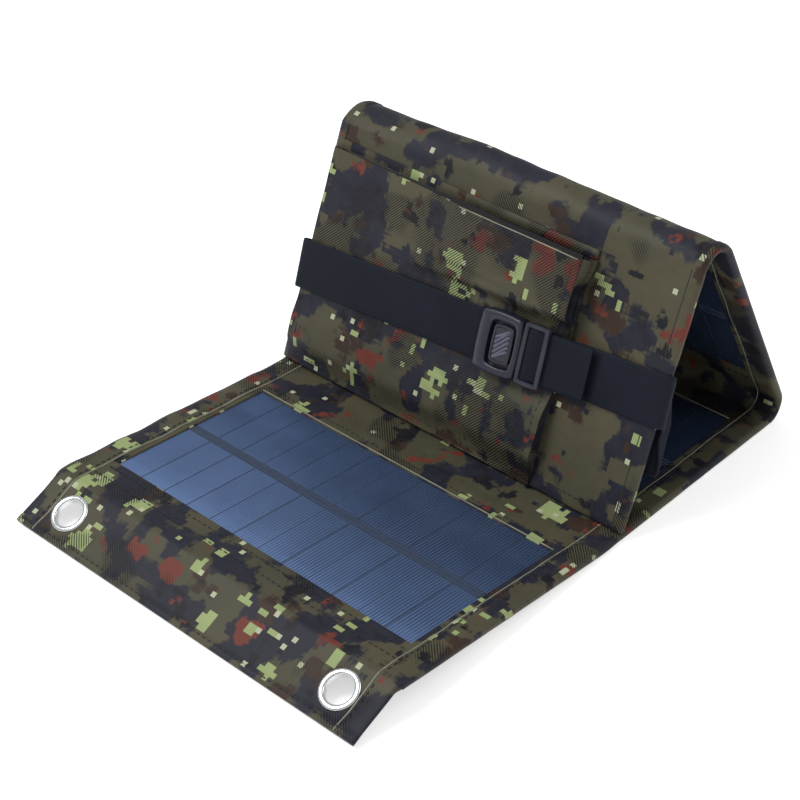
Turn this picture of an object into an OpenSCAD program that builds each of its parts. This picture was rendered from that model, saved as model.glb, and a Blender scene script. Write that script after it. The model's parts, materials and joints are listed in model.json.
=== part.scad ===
// Folding camping solar panel: four cell leaves in bound cloth, an end flap with two eyelets,
// a back pocket with a USB regulator, and a webbing strap with a push-button buckle.
// It stands as a tent: leaf B lies on the ground, C and D rise from it, A lies in front.

/* [Leaves] */
// Width of a leaf, along the fold lines
leaf_w = 215; // [200:1:230]
// Length of a leaf's stiffener board
leaf_l = 119; // [112:1:126]
// Cloth in front of leaf A's board, up to the flap's fold
apron_l = 8; // [8:1:12]
// Width of the binding tape along an edge
binding_w = 8; // [6:0.5:10]
// Thickness of one layer of cloth
cloth_t = 0.5; // [0.4:0.1:0.6]
// Thickness of the stiffener board
board_t = 0.8; // [0.6:0.1:1]
// Thickness of the backing that carries the cells
laminate_t = 1.1; // [0.9:0.1:1.3]

/* [Cells] */
// Width of the window in the cell-side cloth
window_w = 185; // [170:1:190]
// Length of the window in the cell-side cloth
window_l = 93; // [86:1:98]
// Cell columns across a leaf
cell_columns = 12; // [8:1:14]
// Gap between two columns of cells
column_gap = 0.6; // [0.4:0.1:1]
// Gap between the two rows of cells
row_gap = 5; // [4:0.5:6]
// Thickness of a cell
cell_t = 0.2; // [0.15:0.05:0.25]
// Thickness of a current ribbon
ribbon_t = 0.1; // [0.05:0.05:0.15]
// Width of a current ribbon
ribbon_w = 1.6; // [1:0.2:2]
// Thickness of the clear cover film
film_t = 0.1; // [0.05:0.05:0.15]

/* [Pose] */
// Rise of leaf A towards its front edge, in degrees
rise_a = 5.2; // [4.8:0.1:6.5]
// Direction of leaf C from the ground, in degrees
rise_c = 117.6; // [115:0.1:120]
// Direction of leaf D, in degrees
fall_d = 246.9; // [244:0.1:250]
// Slope of the flap from its tip up to its fold, in degrees
rise_flap = 27; // [24:0.1:29]

/* [Creases] */
// Cloth between leaves A and B
crease_ab = 15.5; // [14:0.5:18]
// Cloth between leaves B and C
crease_bc = 17; // [15:0.5:20]
// Cloth between leaves C and D
crease_cd = 25; // [22:0.5:28]
// Cloth between leaf A and the flap
crease_flap = 5; // [4:0.5:6]
// Width of one link cable strip
link_w = 5; // [4:0.5:6]

/* [Flap] */
// Thickness of the flap's folded cloth
flap_t = 1.3; // [1.1:0.1:1.6]
// Distance between the two eyelets
eyelet_pitch = 171; // [160:1:180]
// Distance from the flap's fold edge to an eyelet's centre
eyelet_inset = 10.5; // [10:0.5:12]
// Outer diameter of an eyelet
eyelet_d = 19; // [18:0.5:19]
// Bore of an eyelet
eyelet_bore = 13.4; // [12:0.2:14]

/* [Pocket] */
// Width of the pocket
pocket_w = 159; // [150:1:170]
// Distance of the pocket's mouth above leaf D's lower edge
mouth_s = 112; // [108:1:112]
// Height of the pocket's mouth off the leaf
mouth_h = 12; // [11.8:0.2:14]
// Height of the pocket where the strap crosses it
waist_h = 4.5; // [4:0.1:4.6]
// Width of the back lip and of a closure tape
lip_w = 4.5; // [4:0.5:5]
// Thickness of a closure tape
tape_t = 1; // [0.8:0.1:1.2]

/* [Regulator] */
// Length of the regulator housing
reg_w = 60; // [56:1:62]
// Height of the regulator housing along the leaf
reg_l = 20; // [18:0.5:20]
// Thickness of the regulator housing
reg_t = 9.6; // [9.4:0.1:9.8]
// Wall of the regulator housing
reg_wall = 1.2; // [1:0.1:1.3]
// Width of a USB socket shell
usb_w = 13.2; // [13:0.1:13.4]
// Height of a USB socket shell
usb_h = 5.5; // [5.3:0.1:5.5]
// Depth of a USB socket shell
usb_l = 14; // [13:0.5:15]

/* [Strap and buckle] */
// Width of the webbing
strap_w = 25; // [20:1:25]
// Thickness of the webbing
strap_t = 1.2; // [1:0.1:1.2]
// Slope of the strap across leaf D, in degrees
strap_tilt = 3.7; // [0:0.1:5]
// Height of the strap's middle above leaf D's lower edge
strap_s = 58; // [54:1:60]
// Drop of the slack rear run of the strap
strap_drop = 13; // [8:1:15]
// Length of the buckle socket
socket_l = 23; // [23:0.5:24]
// Width of the buckle
buckle_w = 29; // [29:0.5:31]
// Thickness of the buckle socket
socket_t = 6.6; // [6.4:0.1:7]
// Length of the tongue's frame
ladder_l = 13.5; // [13.5:0.5:15]
// Length of the tongue inside the socket
tongue_l = 12; // [11:0.1:12.4]
// Length of the release button along the strap
button_l = 12; // [11:0.5:12.5]
// Width of the release button across the strap
button_w = 19; // [17:0.5:19]
// How far the button stands above the socket's well floor
button_t = 2.6; // [2.4:0.1:2.8]

/* [Hidden] */

// A sliver of room between parts that only lie against each other
gap = 0.05;
// Running clearance of the buckle's moving pieces
slide_gap = 0.25;
// How far a cutter reaches past the face it opens
past = 1;
leaf_t = 2 * cloth_t + board_t + laminate_t;
half_t = leaf_t / 2;
half_w = leaf_w / 2;
A = 0;
B = 1;
C = 2;
D = 3;
heading = [-rise_a, 0, rise_c, fall_d];
turn_ab = heading[B] - heading[A];
turn_bc = heading[C] - heading[B];
turn_cd = heading[D] - heading[C];
turn_flap = -(rise_flap + rise_a);

// Heights of the layers above the leaf's middle plane, cells up
board_z = -half_t + cloth_t;
laminate_z = board_z + board_t;
cell_z = laminate_z + laminate_t;
film_z = cell_z + cell_t;

// A step along a straight leaf, and one along a crease that bends from one heading to the next
function straight(angle, length) = length * [cos(angle), sin(angle)];
function bend_r(length, turn) = length / (turn * PI / 180);
function curved(from, to, length) =
    bend_r(length, to - from) * [sin(to) - sin(from), cos(from) - cos(to)];

// Where each leaf starts, as [y, z] of its middle plane; leaf B is centred on the origin
start_b = [-leaf_l / 2, half_t];
start_a = start_b - curved(heading[A], heading[B], crease_ab) - straight(heading[A], leaf_l);
start_c = start_b + straight(heading[B], leaf_l) + curved(heading[B], heading[C], crease_bc);
start_d = start_c + straight(heading[C], leaf_l) + curved(heading[C], heading[D], crease_cd);
starts = [start_a, start_b, start_c, start_d];
apron_start = start_a - straight(heading[A], apron_l);
flap_end = apron_start - curved(rise_flap, heading[A], crease_flap);
// The flap is as long as it takes for its tip to all but touch the ground
touch_gap = 0.15;
flap_l = (flap_end[1] - flap_t / 2 * cos(rise_flap) - touch_gap) / sin(rise_flap);

// Leaf D reaches down until its lower edge all but touches the top of leaf B
d_drop = start_d[1] - leaf_t - touch_gap - half_t * abs(cos(fall_d));
d_l = d_drop / -sin(fall_d);
leaf_from = [-apron_l, 0, 0, 0];
leaf_to = [leaf_l, leaf_l, leaf_l, d_l];

window_y = (leaf_l - window_l) / 2;
cell_pitch = (window_w - column_gap) / cell_columns;
cell_w = cell_pitch - column_gap;
cell_l = (window_l - row_gap - 3 * column_gap) / 2;
laminate_margin = 4;
cable_t = 0.4;

// An eyelet's tube through the cloth, and the ring that the tube is rolled over
tube_t = 0.5;
tube_reach = 1;
tube_hole_d = eyelet_bore + 2 * tube_t + 2 * gap;
rim_t = 0.9;
washer_t = 0.7;
washer_d = eyelet_d - 0.6;

// Pocket: inwards from the leaf's left edge, and measured down leaf D from its top
pocket_inset = 2.5;
pocket_x = -half_w + pocket_inset;
pocket_right = pocket_x + pocket_w;
mouth_y = d_l - mouth_s;
pocket_end_y = d_l - 1;
// The pocket is full height down to the shoulder, and narrows from there to the waist
full_l = 31;
shoulder_y = mouth_y + full_l;
waist_y = shoulder_y + 5.5;
// Its lower end closes over the last few millimetres, down to the hem
foot_l = 8;
foot_h = waist_h - 1.2;
hem_h = 1;
side_t = 0.5;
side_inset = 0.5;
lip_t = 1.4;
// The closure tapes stop short of the pocket's sides
tape_inset = 6;
tape_w = pocket_w - 2 * tape_inset;

// Regulator: clear of the pocket's side, and below the closure tapes
reg_x = pocket_right - reg_w - 4;
reg_y = mouth_y + lip_w + 1.2;
reg_h = 0.6;
reg_top = reg_h + reg_t;
reg_r = 2.5;
// Height where the housing's halves part
seam_h = reg_h + 2;
pcb_t = 1;
pcb_inset = reg_wall + 0.3;
usb_pitch = usb_w + 2;
usb_right = 12;
usb_x = [reg_w - usb_right - usb_pitch, reg_w - usb_right];
usb_base = seam_h + pcb_t / 2;
coil_x = 9;
coil_d = 10;
coil_h = 4.4;
light_x = usb_x[0] - 12;
light_d = 3;
light_t = 2.4;

strap_y = d_l - strap_s;
// The strap and the buckle ride this far clear of the pocket's waist
ride_gap = 0.2;
strap_mid = waist_h + ride_gap + strap_t / 2;
strap_edge = touch_gap + strap_t / 2;
// Furthest that leaf D's side edge reaches along the tilted strap
edge_x = half_w / cos(strap_tilt) + strap_w / 2 * tan(strap_tilt);

// Socket: from its left end along the strap, the bar, the strap's slot and the tongue's chamber
socket_x = 11.5;
socket_h = waist_h + ride_gap;
socket_top = socket_h + socket_t;
socket_r = 2.5;
bar_lift = strap_t + 0.3;
bar_w = 2.2;
slot_w = 3.2;
slot_room = 0.4;
slot_mid = socket_x + bar_w + slot_w / 2 + 0.3;
chamber_x = socket_x + bar_w + slot_w + 1.4;
chamber_room = 2;

// Tongue: a frame beside the socket, with the pin across it and the blade that enters the chamber
ladder_x = socket_x + socket_l + 0.6;
ladder_h = socket_h + bar_lift;
ladder_t = 3.6;
ladder_r = 1.2;
ladder_room = 0.45;
rail = 1.6;
pin_r = 1.1;
pin_x = ladder_x + ladder_l / 2;
pin_h = ladder_h + 1.2;
pin_end = 0.3;
tongue_w = 12.6;
tongue_t = 1.2;
tongue_h = socket_h + 1.3;

// Button: in its well over the chamber, with slanting ribs inside a rim
button_x = socket_x + socket_l - button_l / 2 - 3.5;
button_r = 2.2;
button_rim = 1.7;
well_h = socket_top - button_t;
rib_h = 0.5;
rib_w = 1.1;
rib_pitch = 3.2;
rib_slant = 45;
rib_count = 5;
spring_t = 0.3;
spring_w = 3;
spring_inset = 0.6;
spring_overhang = 1;

// Places children on a leaf: x across, y along it, z towards the cells
module on_leaf(k) {
    translate([0, starts[k][0], starts[k][1]])
        rotate([heading[k], 0, 0])
            children();
}

// Places children on the outer face of leaf D, with z outwards
module on_back() {
    on_leaf(D)
        translate([0, 0, -half_t])
            mirror([0, 0, 1])
                children();
}

// The strap's own place on the back of leaf D: x along the strap, z outwards
module on_strap() {
    on_back()
        translate([0, strap_y, 0])
            rotate([0, 0, -strap_tilt])
                children();
}

module on_flap() {
    translate([0, flap_end[0], flap_end[1]])
        rotate([rise_flap, 0, 0])
            children();
}

// A box centred across the leaf
module slab(w, y0, y1, z0, t) {
    translate([-w / 2, y0, z0])
        cube([w, y1 - y0, t]);
}

// A layer of a crease that leaves along +y and turns up by an angle, from height z0 to z1
module bent_layer(length, turn, w, z0, z1) {
    r = bend_r(length, turn);
    translate([0, 0, r])
        rotate([0, 90, 0])
            rotate_extrude(angle = turn, $fn = 180)
                translate([r - z1, -w / 2])
                    square([z1 - z0, w]);
}

module rounded_rect(l, w, r) {
    union() {
        square([l - 2 * r, w], center = true);
        square([l, w - 2 * r], center = true);
        for (x = [-1, 1], y = [-1, 1])
            translate([x * (l / 2 - r), y * (w / 2 - r)])
                circle(r, $fn = 32);
    }
}

// Outline of a strip of even thickness along a path of [x, height] points
function unit(v) = v / norm(v);
function normal_at(path, i) =
    let (a = unit(path[i] - path[max(i - 1, 0)] + (i == 0 ? path[1] - path[0] : [0, 0])),
         b = unit(path[min(i + 1, len(path) - 1)] - path[i] + (i == len(path) - 1 ? a : [0, 0])),
         n = unit(a + b))
    [-n[1], n[0]] / (n * a);
function strip_outline(path, t) = concat(
    [for (i = [0:len(path) - 1]) path[i] + normal_at(path, i) * t / 2],
    [for (i = [len(path) - 1:-1:0]) path[i] - normal_at(path, i) * t / 2]
);
function arc_points(centre, r, a0, a1, n) =
    [for (i = [0:n]) centre + r * [cos(a0 + (a1 - a0) * i / n), sin(a0 + (a1 - a0) * i / n)]];

// ---- layers of a leaf ----

module back_cloth(k) {
    end = leaf_to[k] - (k == D ? binding_w : 0);
    color("#47453a")
        on_leaf(k)
            slab(leaf_w - 2 * binding_w, leaf_from[k], end, -half_t, cloth_t);
}

module stiffener(k) {
    color("#8a8778")
        on_leaf(k)
            slab(leaf_w - 2 * cloth_t, 0, leaf_to[k] - (k == D ? cloth_t : 0), board_z, board_t);
}

module laminate(k) {
    w = window_w + 2 * laminate_margin;
    color("#1b2433")
        on_leaf(k)
            slab(w, window_y - laminate_margin, window_y + window_l + laminate_margin,
                 laminate_z, laminate_t);
}

module cells(k) {
    color("#3f5677")
        on_leaf(k)
            for (i = [0:cell_columns - 1], row = [0, 1])
                translate([-window_w / 2 + column_gap + i * cell_pitch,
                           window_y + column_gap + row * (cell_l + row_gap + column_gap), cell_z])
                    cube([cell_w, cell_l, cell_t]);
}

// Two ribbons in the band between the rows of cells
module ribbons(k) {
    inset = 2;
    off_middle = 1.2;
    color("#9fa6ac")
        on_leaf(k)
            for (side = [-1, 1])
                translate([-window_w / 2 + inset, leaf_l / 2 - ribbon_w / 2 + side * off_middle, cell_z])
                    cube([window_w - 2 * inset, ribbon_w, ribbon_t]);
}

module film(k) {
    color("#b9c6d6", 0.3)
        on_leaf(k)
            slab(window_w - 2 * gap, window_y + gap, window_y + window_l - gap, film_z, film_t);
}

// Cell-side cloth with its window, over filler cloth that levels the laminate's edge
module front_frame(k) {
    end = leaf_to[k];
    m = laminate_margin + gap;
    color("#4a483c")
        on_leaf(k)
            difference() {
                union() {
                    slab(leaf_w - 2 * cloth_t, 0, end - (k == D ? cloth_t : 0),
                         laminate_z, laminate_t);
                    slab(leaf_w - 2 * binding_w, 0, end - (k == D ? binding_w : 0),
                         cell_z, cloth_t);
                }
                slab(window_w + 2 * m, window_y - m, window_y + window_l + m,
                     laminate_z - past, laminate_t + past);
                slab(window_w, window_y, window_y + window_l, 0, leaf_t);
            }
}

// Tape folded over both side edges, and over leaf D's free edge
module binding(k) {
    from = leaf_from[k];
    to = leaf_to[k];
    color("#2f2f33")
        on_leaf(k)
            for (side = [-1, 1])
                scale([side, 1, 1])
                    translate([half_w - binding_w, from, -half_t])
                        difference() {
                            cube([binding_w, to - from, leaf_t]);
                            translate([-past, -past, cloth_t])
                                cube([binding_w + past - cloth_t, to - from + 2 * past,
                                      leaf_t - 2 * cloth_t]);
                        }
    if (k == D)
        color("#2f2f33")
            on_leaf(k)
                difference() {
                    slab(leaf_w - 2 * binding_w, to - binding_w, to, -half_t, leaf_t);
                    slab(leaf_w, to - binding_w - past, to - cloth_t, -half_t + cloth_t,
                         leaf_t - 2 * cloth_t);
                }
}

// ---- creases ----

module gusset(k, length, turn) {
    color("#45443a")
        on_leaf(k)
            translate([0, leaf_l, 0]) {
                bent_layer(length, turn, leaf_w, -half_t, -half_t + cloth_t);
                bent_layer(length, turn, leaf_w, half_t - cloth_t, half_t);
            }
}

// Flat cable pair that carries the current across a crease
module link_cable(k, length, turn) {
    color("#141418")
        on_leaf(k)
            for (side = [-1, 1])
                translate([side * link_w, leaf_l, 0])
                    bent_layer(length, turn, link_w, -cable_t / 2, cable_t / 2);
}

// ---- flap ----

// Folded seam cloth between the two skins of leaf A's apron
module front_seam() {
    color("#3b3a31")
        on_leaf(A) {
            slab(leaf_w - 2 * cloth_t, -apron_l, -gap, board_z, board_t + laminate_t);
            slab(leaf_w - 2 * binding_w, -apron_l, -gap, half_t - cloth_t, cloth_t);
        }
}

module flap_gusset() {
    color("#45443a")
        on_leaf(A)
            translate([0, -apron_l, 0])
                rotate([0, 0, 180])
                    scale([1, 1, -1])
                        bent_layer(crease_flap, -turn_flap, leaf_w, -flap_t / 2, flap_t / 2);
}

module flap_cloth() {
    color("#4a483c")
        on_flap()
            difference() {
                slab(leaf_w, -flap_l, -gap, -flap_t / 2, flap_t);
                for (side = [-1, 1])
                    translate([side * eyelet_pitch / 2, -eyelet_inset, -leaf_t])
                        cylinder(d = tube_hole_d, h = 2 * leaf_t, $fn = 96);
            }
}

module at_eyelets() {
    on_flap()
        for (side = [-1, 1])
            translate([side * eyelet_pitch / 2, -eyelet_inset, 0])
                children();
}

// Upper half of an eyelet: a domed rim and a tube through the cloth
module eyelet_barrels() {
    color("#d5d8da")
        at_eyelets()
            rotate_extrude($fn = 96)
                difference() {
                    union() {
                        translate([eyelet_bore / 2, -flap_t / 2 - tube_reach])
                            square([tube_t, flap_t + tube_reach]);
                        translate([(eyelet_bore + eyelet_d) / 4, flap_t / 2])
                            scale((eyelet_d - eyelet_bore) / 4)
                                circle(1, $fn = 48);
                    }
                    translate([0, flap_t / 2 + rim_t])
                        square([eyelet_d, eyelet_d]);
                    translate([eyelet_bore / 2 + tube_t, -eyelet_d])
                        square([eyelet_d, eyelet_d + flap_t / 2]);
                    translate([0, -eyelet_d])
                        square([eyelet_bore / 2, 2 * eyelet_d]);
                }
}

// Lower half of an eyelet: a flat ring that the tube is rolled over
module eyelet_washers() {
    color("#c4c8cb")
        at_eyelets()
            translate([0, 0, -flap_t / 2 - washer_t])
                difference() {
                    cylinder(d = washer_d, h = washer_t, $fn = 96);
                    translate([0, 0, -past])
                        cylinder(d = tube_hole_d, h = washer_t + 2 * past, $fn = 96);
                }
}

// ---- pocket ----

// Outer surface of the pocket as [y, height above the leaf]
pocket_path = [
    [mouth_y, mouth_h - cloth_t / 2],
    [shoulder_y, mouth_h - cloth_t / 2],
    [waist_y, waist_h - cloth_t / 2],
    [pocket_end_y - foot_l, foot_h],
    [pocket_end_y, hem_h]
];

module pocket_panel() {
    color("#4a483c")
        on_back()
            translate([pocket_x, 0, 0])
                rotate([90, 0, 90])
                    linear_extrude(pocket_w)
                        polygon(strip_outline(pocket_path, cloth_t));
}

module pocket_sides() {
    drop = cloth_t / 2 + 2 * gap;
    last = len(pocket_path) - 1;
    under = [for (i = [0:last]) pocket_path[i] - normal_at(pocket_path, i) * drop];
    color("#45443a")
        on_back()
            for (x = [pocket_x + side_inset, pocket_right - side_t - side_inset])
                translate([x, 0, 0])
                    rotate([90, 0, 90])
                        linear_extrude(side_t)
                            polygon(concat([[under[last][0], gap], [mouth_y, gap]], under));
}

module pocket_back_lip() {
    color("#3b3a31")
        on_back()
            translate([pocket_x, mouth_y - lip_w, gap])
                cube([pocket_w + 1, lip_w, lip_t]);
}

module pocket_loop_tape() {
    color("#1b1b1f")
        on_back()
            translate([pocket_x + tape_inset, mouth_y + gap, gap])
                cube([tape_w, lip_w, tape_t]);
}

module pocket_hook_tape() {
    color("#202024")
        on_back()
            translate([pocket_x + tape_inset, mouth_y + 1, mouth_h - cloth_t - gap - tape_t])
                cube([tape_w, lip_w, tape_t]);
}

// ---- regulator, in the pocket ----

module at_regulator() {
    on_back()
        translate([reg_x, reg_y, 0])
            children();
}

// One half of the housing from height z0 to z1, hollow from c0 to c1, with the sockets' mouths
module regulator_shell(z0, z1, c0, c1) {
    difference() {
        translate([reg_w / 2, reg_l / 2, z0])
            linear_extrude(z1 - z0)
                rounded_rect(reg_w, reg_l, reg_r);
        translate([reg_wall, reg_wall, c0])
            cube([reg_w - 2 * reg_wall, reg_l - 2 * reg_wall, c1 - c0]);
        for (x = usb_x)
            translate([x - usb_w / 2 - gap, -past, usb_base - gap])
                cube([usb_w + 2 * gap, usb_l + past, usb_h + 2 * gap]);
    }
}

module regulator_base() {
    color("#1a1b1e")
        at_regulator()
            regulator_shell(reg_h, seam_h, reg_h + reg_wall, seam_h + past);
}

module regulator_lid() {
    color("#1f2024")
        at_regulator()
            difference() {
                regulator_shell(seam_h + gap, reg_top, seam_h - past, reg_top - reg_wall);
                translate([light_x, reg_l / 2, reg_top - reg_wall - past])
                    cylinder(d = light_d + 2 * gap, h = reg_wall + 2 * past, $fn = 32);
            }
}

module regulator_board() {
    color("#1d5a3a")
        at_regulator()
            translate([pcb_inset, pcb_inset, usb_base - pcb_t - gap])
                cube([reg_w - 2 * pcb_inset, reg_l - 2 * pcb_inset, pcb_t]);
}

module regulator_coil() {
    color("#3a3a3e")
        at_regulator()
            translate([coil_x, reg_l / 2, usb_base])
                cylinder(d = coil_d, h = coil_h, $fn = 48);
}

module usb_sockets() {
    wall = 0.35;
    back = 2;
    color("#b9bcc0")
        at_regulator()
            for (x = usb_x)
                translate([x - usb_w / 2, 0, usb_base])
                    difference() {
                        cube([usb_w, usb_l, usb_h]);
                        translate([wall, -past, wall])
                            cube([usb_w - 2 * wall, usb_l - back + past, usb_h - 2 * wall]);
                    }
}

module status_light() {
    color("#7fd0ff")
        at_regulator()
            translate([light_x, reg_l / 2, reg_top - light_t])
                cylinder(d = light_d, h = light_t, $fn = 32);
}

// ---- strap and buckle ----

// The strap's middle line as [x, height]: from the socket's bar, left round the leaf's edge
strap_left = concat(
    [[slot_mid, socket_h + 4.4],
     [slot_mid, socket_h + 2.5],
     [slot_mid - 1.2, strap_mid],
     [3 - edge_x, strap_mid],
     [0.8 - edge_x, strap_mid - 0.3],
     [-edge_x - strap_edge, 2.6]],
    arc_points([-edge_x, -leaf_t], strap_edge, 180, 270, 4),
    [[4 - edge_x, -leaf_t - strap_edge]]
);
// From the rear stub right round the edge, under the tongue's pin, over it and out as the tail
ply_gap = 0.15;
pin_loop = pin_r + 0.1 + strap_t / 2;
under_pin = pin_h - pin_loop;
tail_mid = under_pin + strap_t + ply_gap;
tail_x = pocket_right + 16;
strap_right = concat(
    [[edge_x - 4, -leaf_t - strap_edge]],
    arc_points([edge_x, -leaf_t], strap_edge, -90, 0, 4),
    arc_points([edge_x, 0], strap_edge, 0, 90, 4),
    [[pocket_right + 7, strap_edge + 0.4],
     [pocket_right + 2, strap_mid],
     [ladder_x + ladder_l + 2, under_pin]],
    arc_points([pin_x, pin_h], pin_loop, 270, 60, 8),
    [[ladder_x + ladder_l - 3.4, tail_mid],
     [ladder_x + ladder_l + 2, tail_mid],
     [pocket_right + 2, strap_mid + strap_t + ply_gap],
     [tail_x, strap_mid + strap_t - 1.1]]
);

module webbing(path, y) {
    translate([0, y + strap_w / 2, 0])
        rotate([90, 0, 0])
            linear_extrude(strap_w)
                polygon(strip_outline(path, strap_t));
}

module webbing_strap() {
    rear = [for (side = [-1, 1]) [side * (edge_x - 1), -leaf_t - strap_edge]];
    color("#22262e")
        on_strap() {
            webbing(strap_left, 0);
            webbing(strap_right, 0);
            webbing(rear, strap_drop);
        }
}

module buckle_socket() {
    mid = socket_x + socket_l / 2;
    chamber_l = button_x + button_l / 2 - chamber_x;
    slot_l = strap_w + 2 * slot_room;
    color("#2c2d35")
        on_strap()
            difference() {
                translate([mid, 0, socket_h])
                    linear_extrude(socket_t)
                        rounded_rect(socket_l, buckle_w, socket_r);
                translate([socket_x - past, -slot_l / 2, socket_h - past])
                    cube([bar_w + past, slot_l, bar_lift + past]);
                translate([socket_x + bar_w, -slot_l / 2, socket_h - past])
                    cube([slot_w, slot_l, socket_t + 2 * past]);
                translate([chamber_x, -tongue_w / 2 - chamber_room, tongue_h - slide_gap])
                    cube([chamber_l, tongue_w + 2 * chamber_room, well_h - tongue_h + slide_gap]);
                translate([chamber_x, -tongue_w / 2 - slide_gap, tongue_h - slide_gap])
                    cube([socket_l, tongue_w + 2 * slide_gap, tongue_t + 2 * slide_gap]);
                translate([button_x, 0, tongue_h])
                    linear_extrude(socket_t)
                        rounded_rect(button_l, button_w, button_r);
            }
}

module release_button() {
    color("#33343d")
        on_strap()
            translate([button_x, 0, 0]) {
                translate([0, 0, well_h])
                    linear_extrude(button_t - rib_h)
                        rounded_rect(button_l - 2 * slide_gap, button_w - 2 * slide_gap, button_r - 0.2);
                intersection() {
                    translate([0, 0, well_h])
                        linear_extrude(button_t)
                            rounded_rect(button_l - 2 * button_rim, button_w - 2 * button_rim,
                                         button_r - 0.8);
                    for (i = [0:rib_count - 1])
                        translate([0, (i - (rib_count - 1) / 2) * rib_pitch, well_h])
                            rotate([0, 0, rib_slant])
                                translate([-button_w, -rib_w / 2, 0])
                                    cube([2 * button_w, rib_w, button_t]);
                }
            }
}

// Bowed leaf spring between the socket's floor and the button
module button_spring() {
    floor_h = tongue_h - slide_gap + spring_t / 2 + gap;
    top_h = well_h - spring_t / 2 - gap;
    half = tongue_w / 2 + spring_overhang;
    steps = 6;
    bow = [for (i = [-steps:steps])
               [half * i / steps, floor_h + (top_h - floor_h) * cos(90 * i / steps)]];
    color("#a9adb2")
        on_strap()
            translate([button_x - button_l / 2 + spring_w / 2 + spring_inset, 0, 0])
                rotate([90, 0, 90])
                    linear_extrude(spring_w, center = true)
                        polygon(strip_outline(bow, spring_t));
}

module buckle_tongue() {
    inner_l = ladder_l - 2 * rail;
    inner_w = strap_w + 2 * ladder_room;
    // The end rail clears the strap and its tail, which pass under it
    rail_h = tail_mid + strap_t / 2 + 0.2;
    color("#34353f")
        on_strap() {
            difference() {
                translate([ladder_x + ladder_l / 2, 0, ladder_h])
                    linear_extrude(ladder_t)
                        rounded_rect(ladder_l, buckle_w, ladder_r);
                translate([ladder_x + rail, -inner_w / 2, ladder_h - past])
                    cube([inner_l, inner_w, ladder_t + 2 * past]);
                translate([ladder_x + ladder_l - rail - past, -inner_w / 2, ladder_h - past])
                    cube([rail + 2 * past, inner_w, rail_h - ladder_h + past]);
            }
            translate([pin_x, 0, pin_h])
                rotate([90, 0, 0])
                    cylinder(r = pin_r, h = inner_w + 2 * pin_end, center = true, $fn = 48);
            translate([ladder_x - tongue_l, -tongue_w / 2, tongue_h])
                cube([tongue_l + rail, tongue_w, tongue_t]);
        }
}

back_cloth(A);  // leaf_a_back_cloth
stiffener(A);  // leaf_a_stiffener
laminate(A);  // leaf_a_laminate
cells(A);  // leaf_a_cells
ribbons(A);  // leaf_a_ribbons
film(A);  // leaf_a_film
front_frame(A);  // leaf_a_front_frame
binding(A);  // leaf_a_binding
back_cloth(B);  // leaf_b_back_cloth
stiffener(B);  // leaf_b_stiffener
laminate(B);  // leaf_b_laminate
cells(B);  // leaf_b_cells
ribbons(B);  // leaf_b_ribbons
film(B);  // leaf_b_film
front_frame(B);  // leaf_b_front_frame
binding(B);  // leaf_b_binding
back_cloth(C);  // leaf_c_back_cloth
stiffener(C);  // leaf_c_stiffener
laminate(C);  // leaf_c_laminate
cells(C);  // leaf_c_cells
ribbons(C);  // leaf_c_ribbons
film(C);  // leaf_c_film
front_frame(C);  // leaf_c_front_frame
binding(C);  // leaf_c_binding
back_cloth(D);  // leaf_d_back_cloth
stiffener(D);  // leaf_d_stiffener
laminate(D);  // leaf_d_laminate
cells(D);  // leaf_d_cells
ribbons(D);  // leaf_d_ribbons
film(D);  // leaf_d_film
front_frame(D);  // leaf_d_front_frame
binding(D);  // leaf_d_binding
gusset(A, crease_ab, turn_ab);  // gusset_ab
gusset(B, crease_bc, turn_bc);  // gusset_bc
gusset(C, crease_cd, turn_cd);  // gusset_cd
link_cable(A, crease_ab, turn_ab);  // link_cable_ab
link_cable(B, crease_bc, turn_bc);  // link_cable_bc
link_cable(C, crease_cd, turn_cd);  // link_cable_cd
front_seam();
flap_gusset();
flap_cloth();
eyelet_barrels();
eyelet_washers();
pocket_panel();
pocket_sides();
pocket_back_lip();
pocket_hook_tape();
pocket_loop_tape();
regulator_base();
regulator_lid();
regulator_board();
regulator_coil();
usb_sockets();
status_light();
webbing_strap();
buckle_socket();
buckle_tongue();
release_button();
button_spring();
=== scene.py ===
"""A folding solar panel in digital camouflage, standing as a tent on a pale floor.

Each leaf is a closed cloth shell with a window over its cells, and the folds between leaves are cloth shells
of their own. Lengths are metres in the CAD model's frame.
"""
import json
import math

import bpy
import numpy as np
from mathutils import Matrix, Vector, noise


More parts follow.
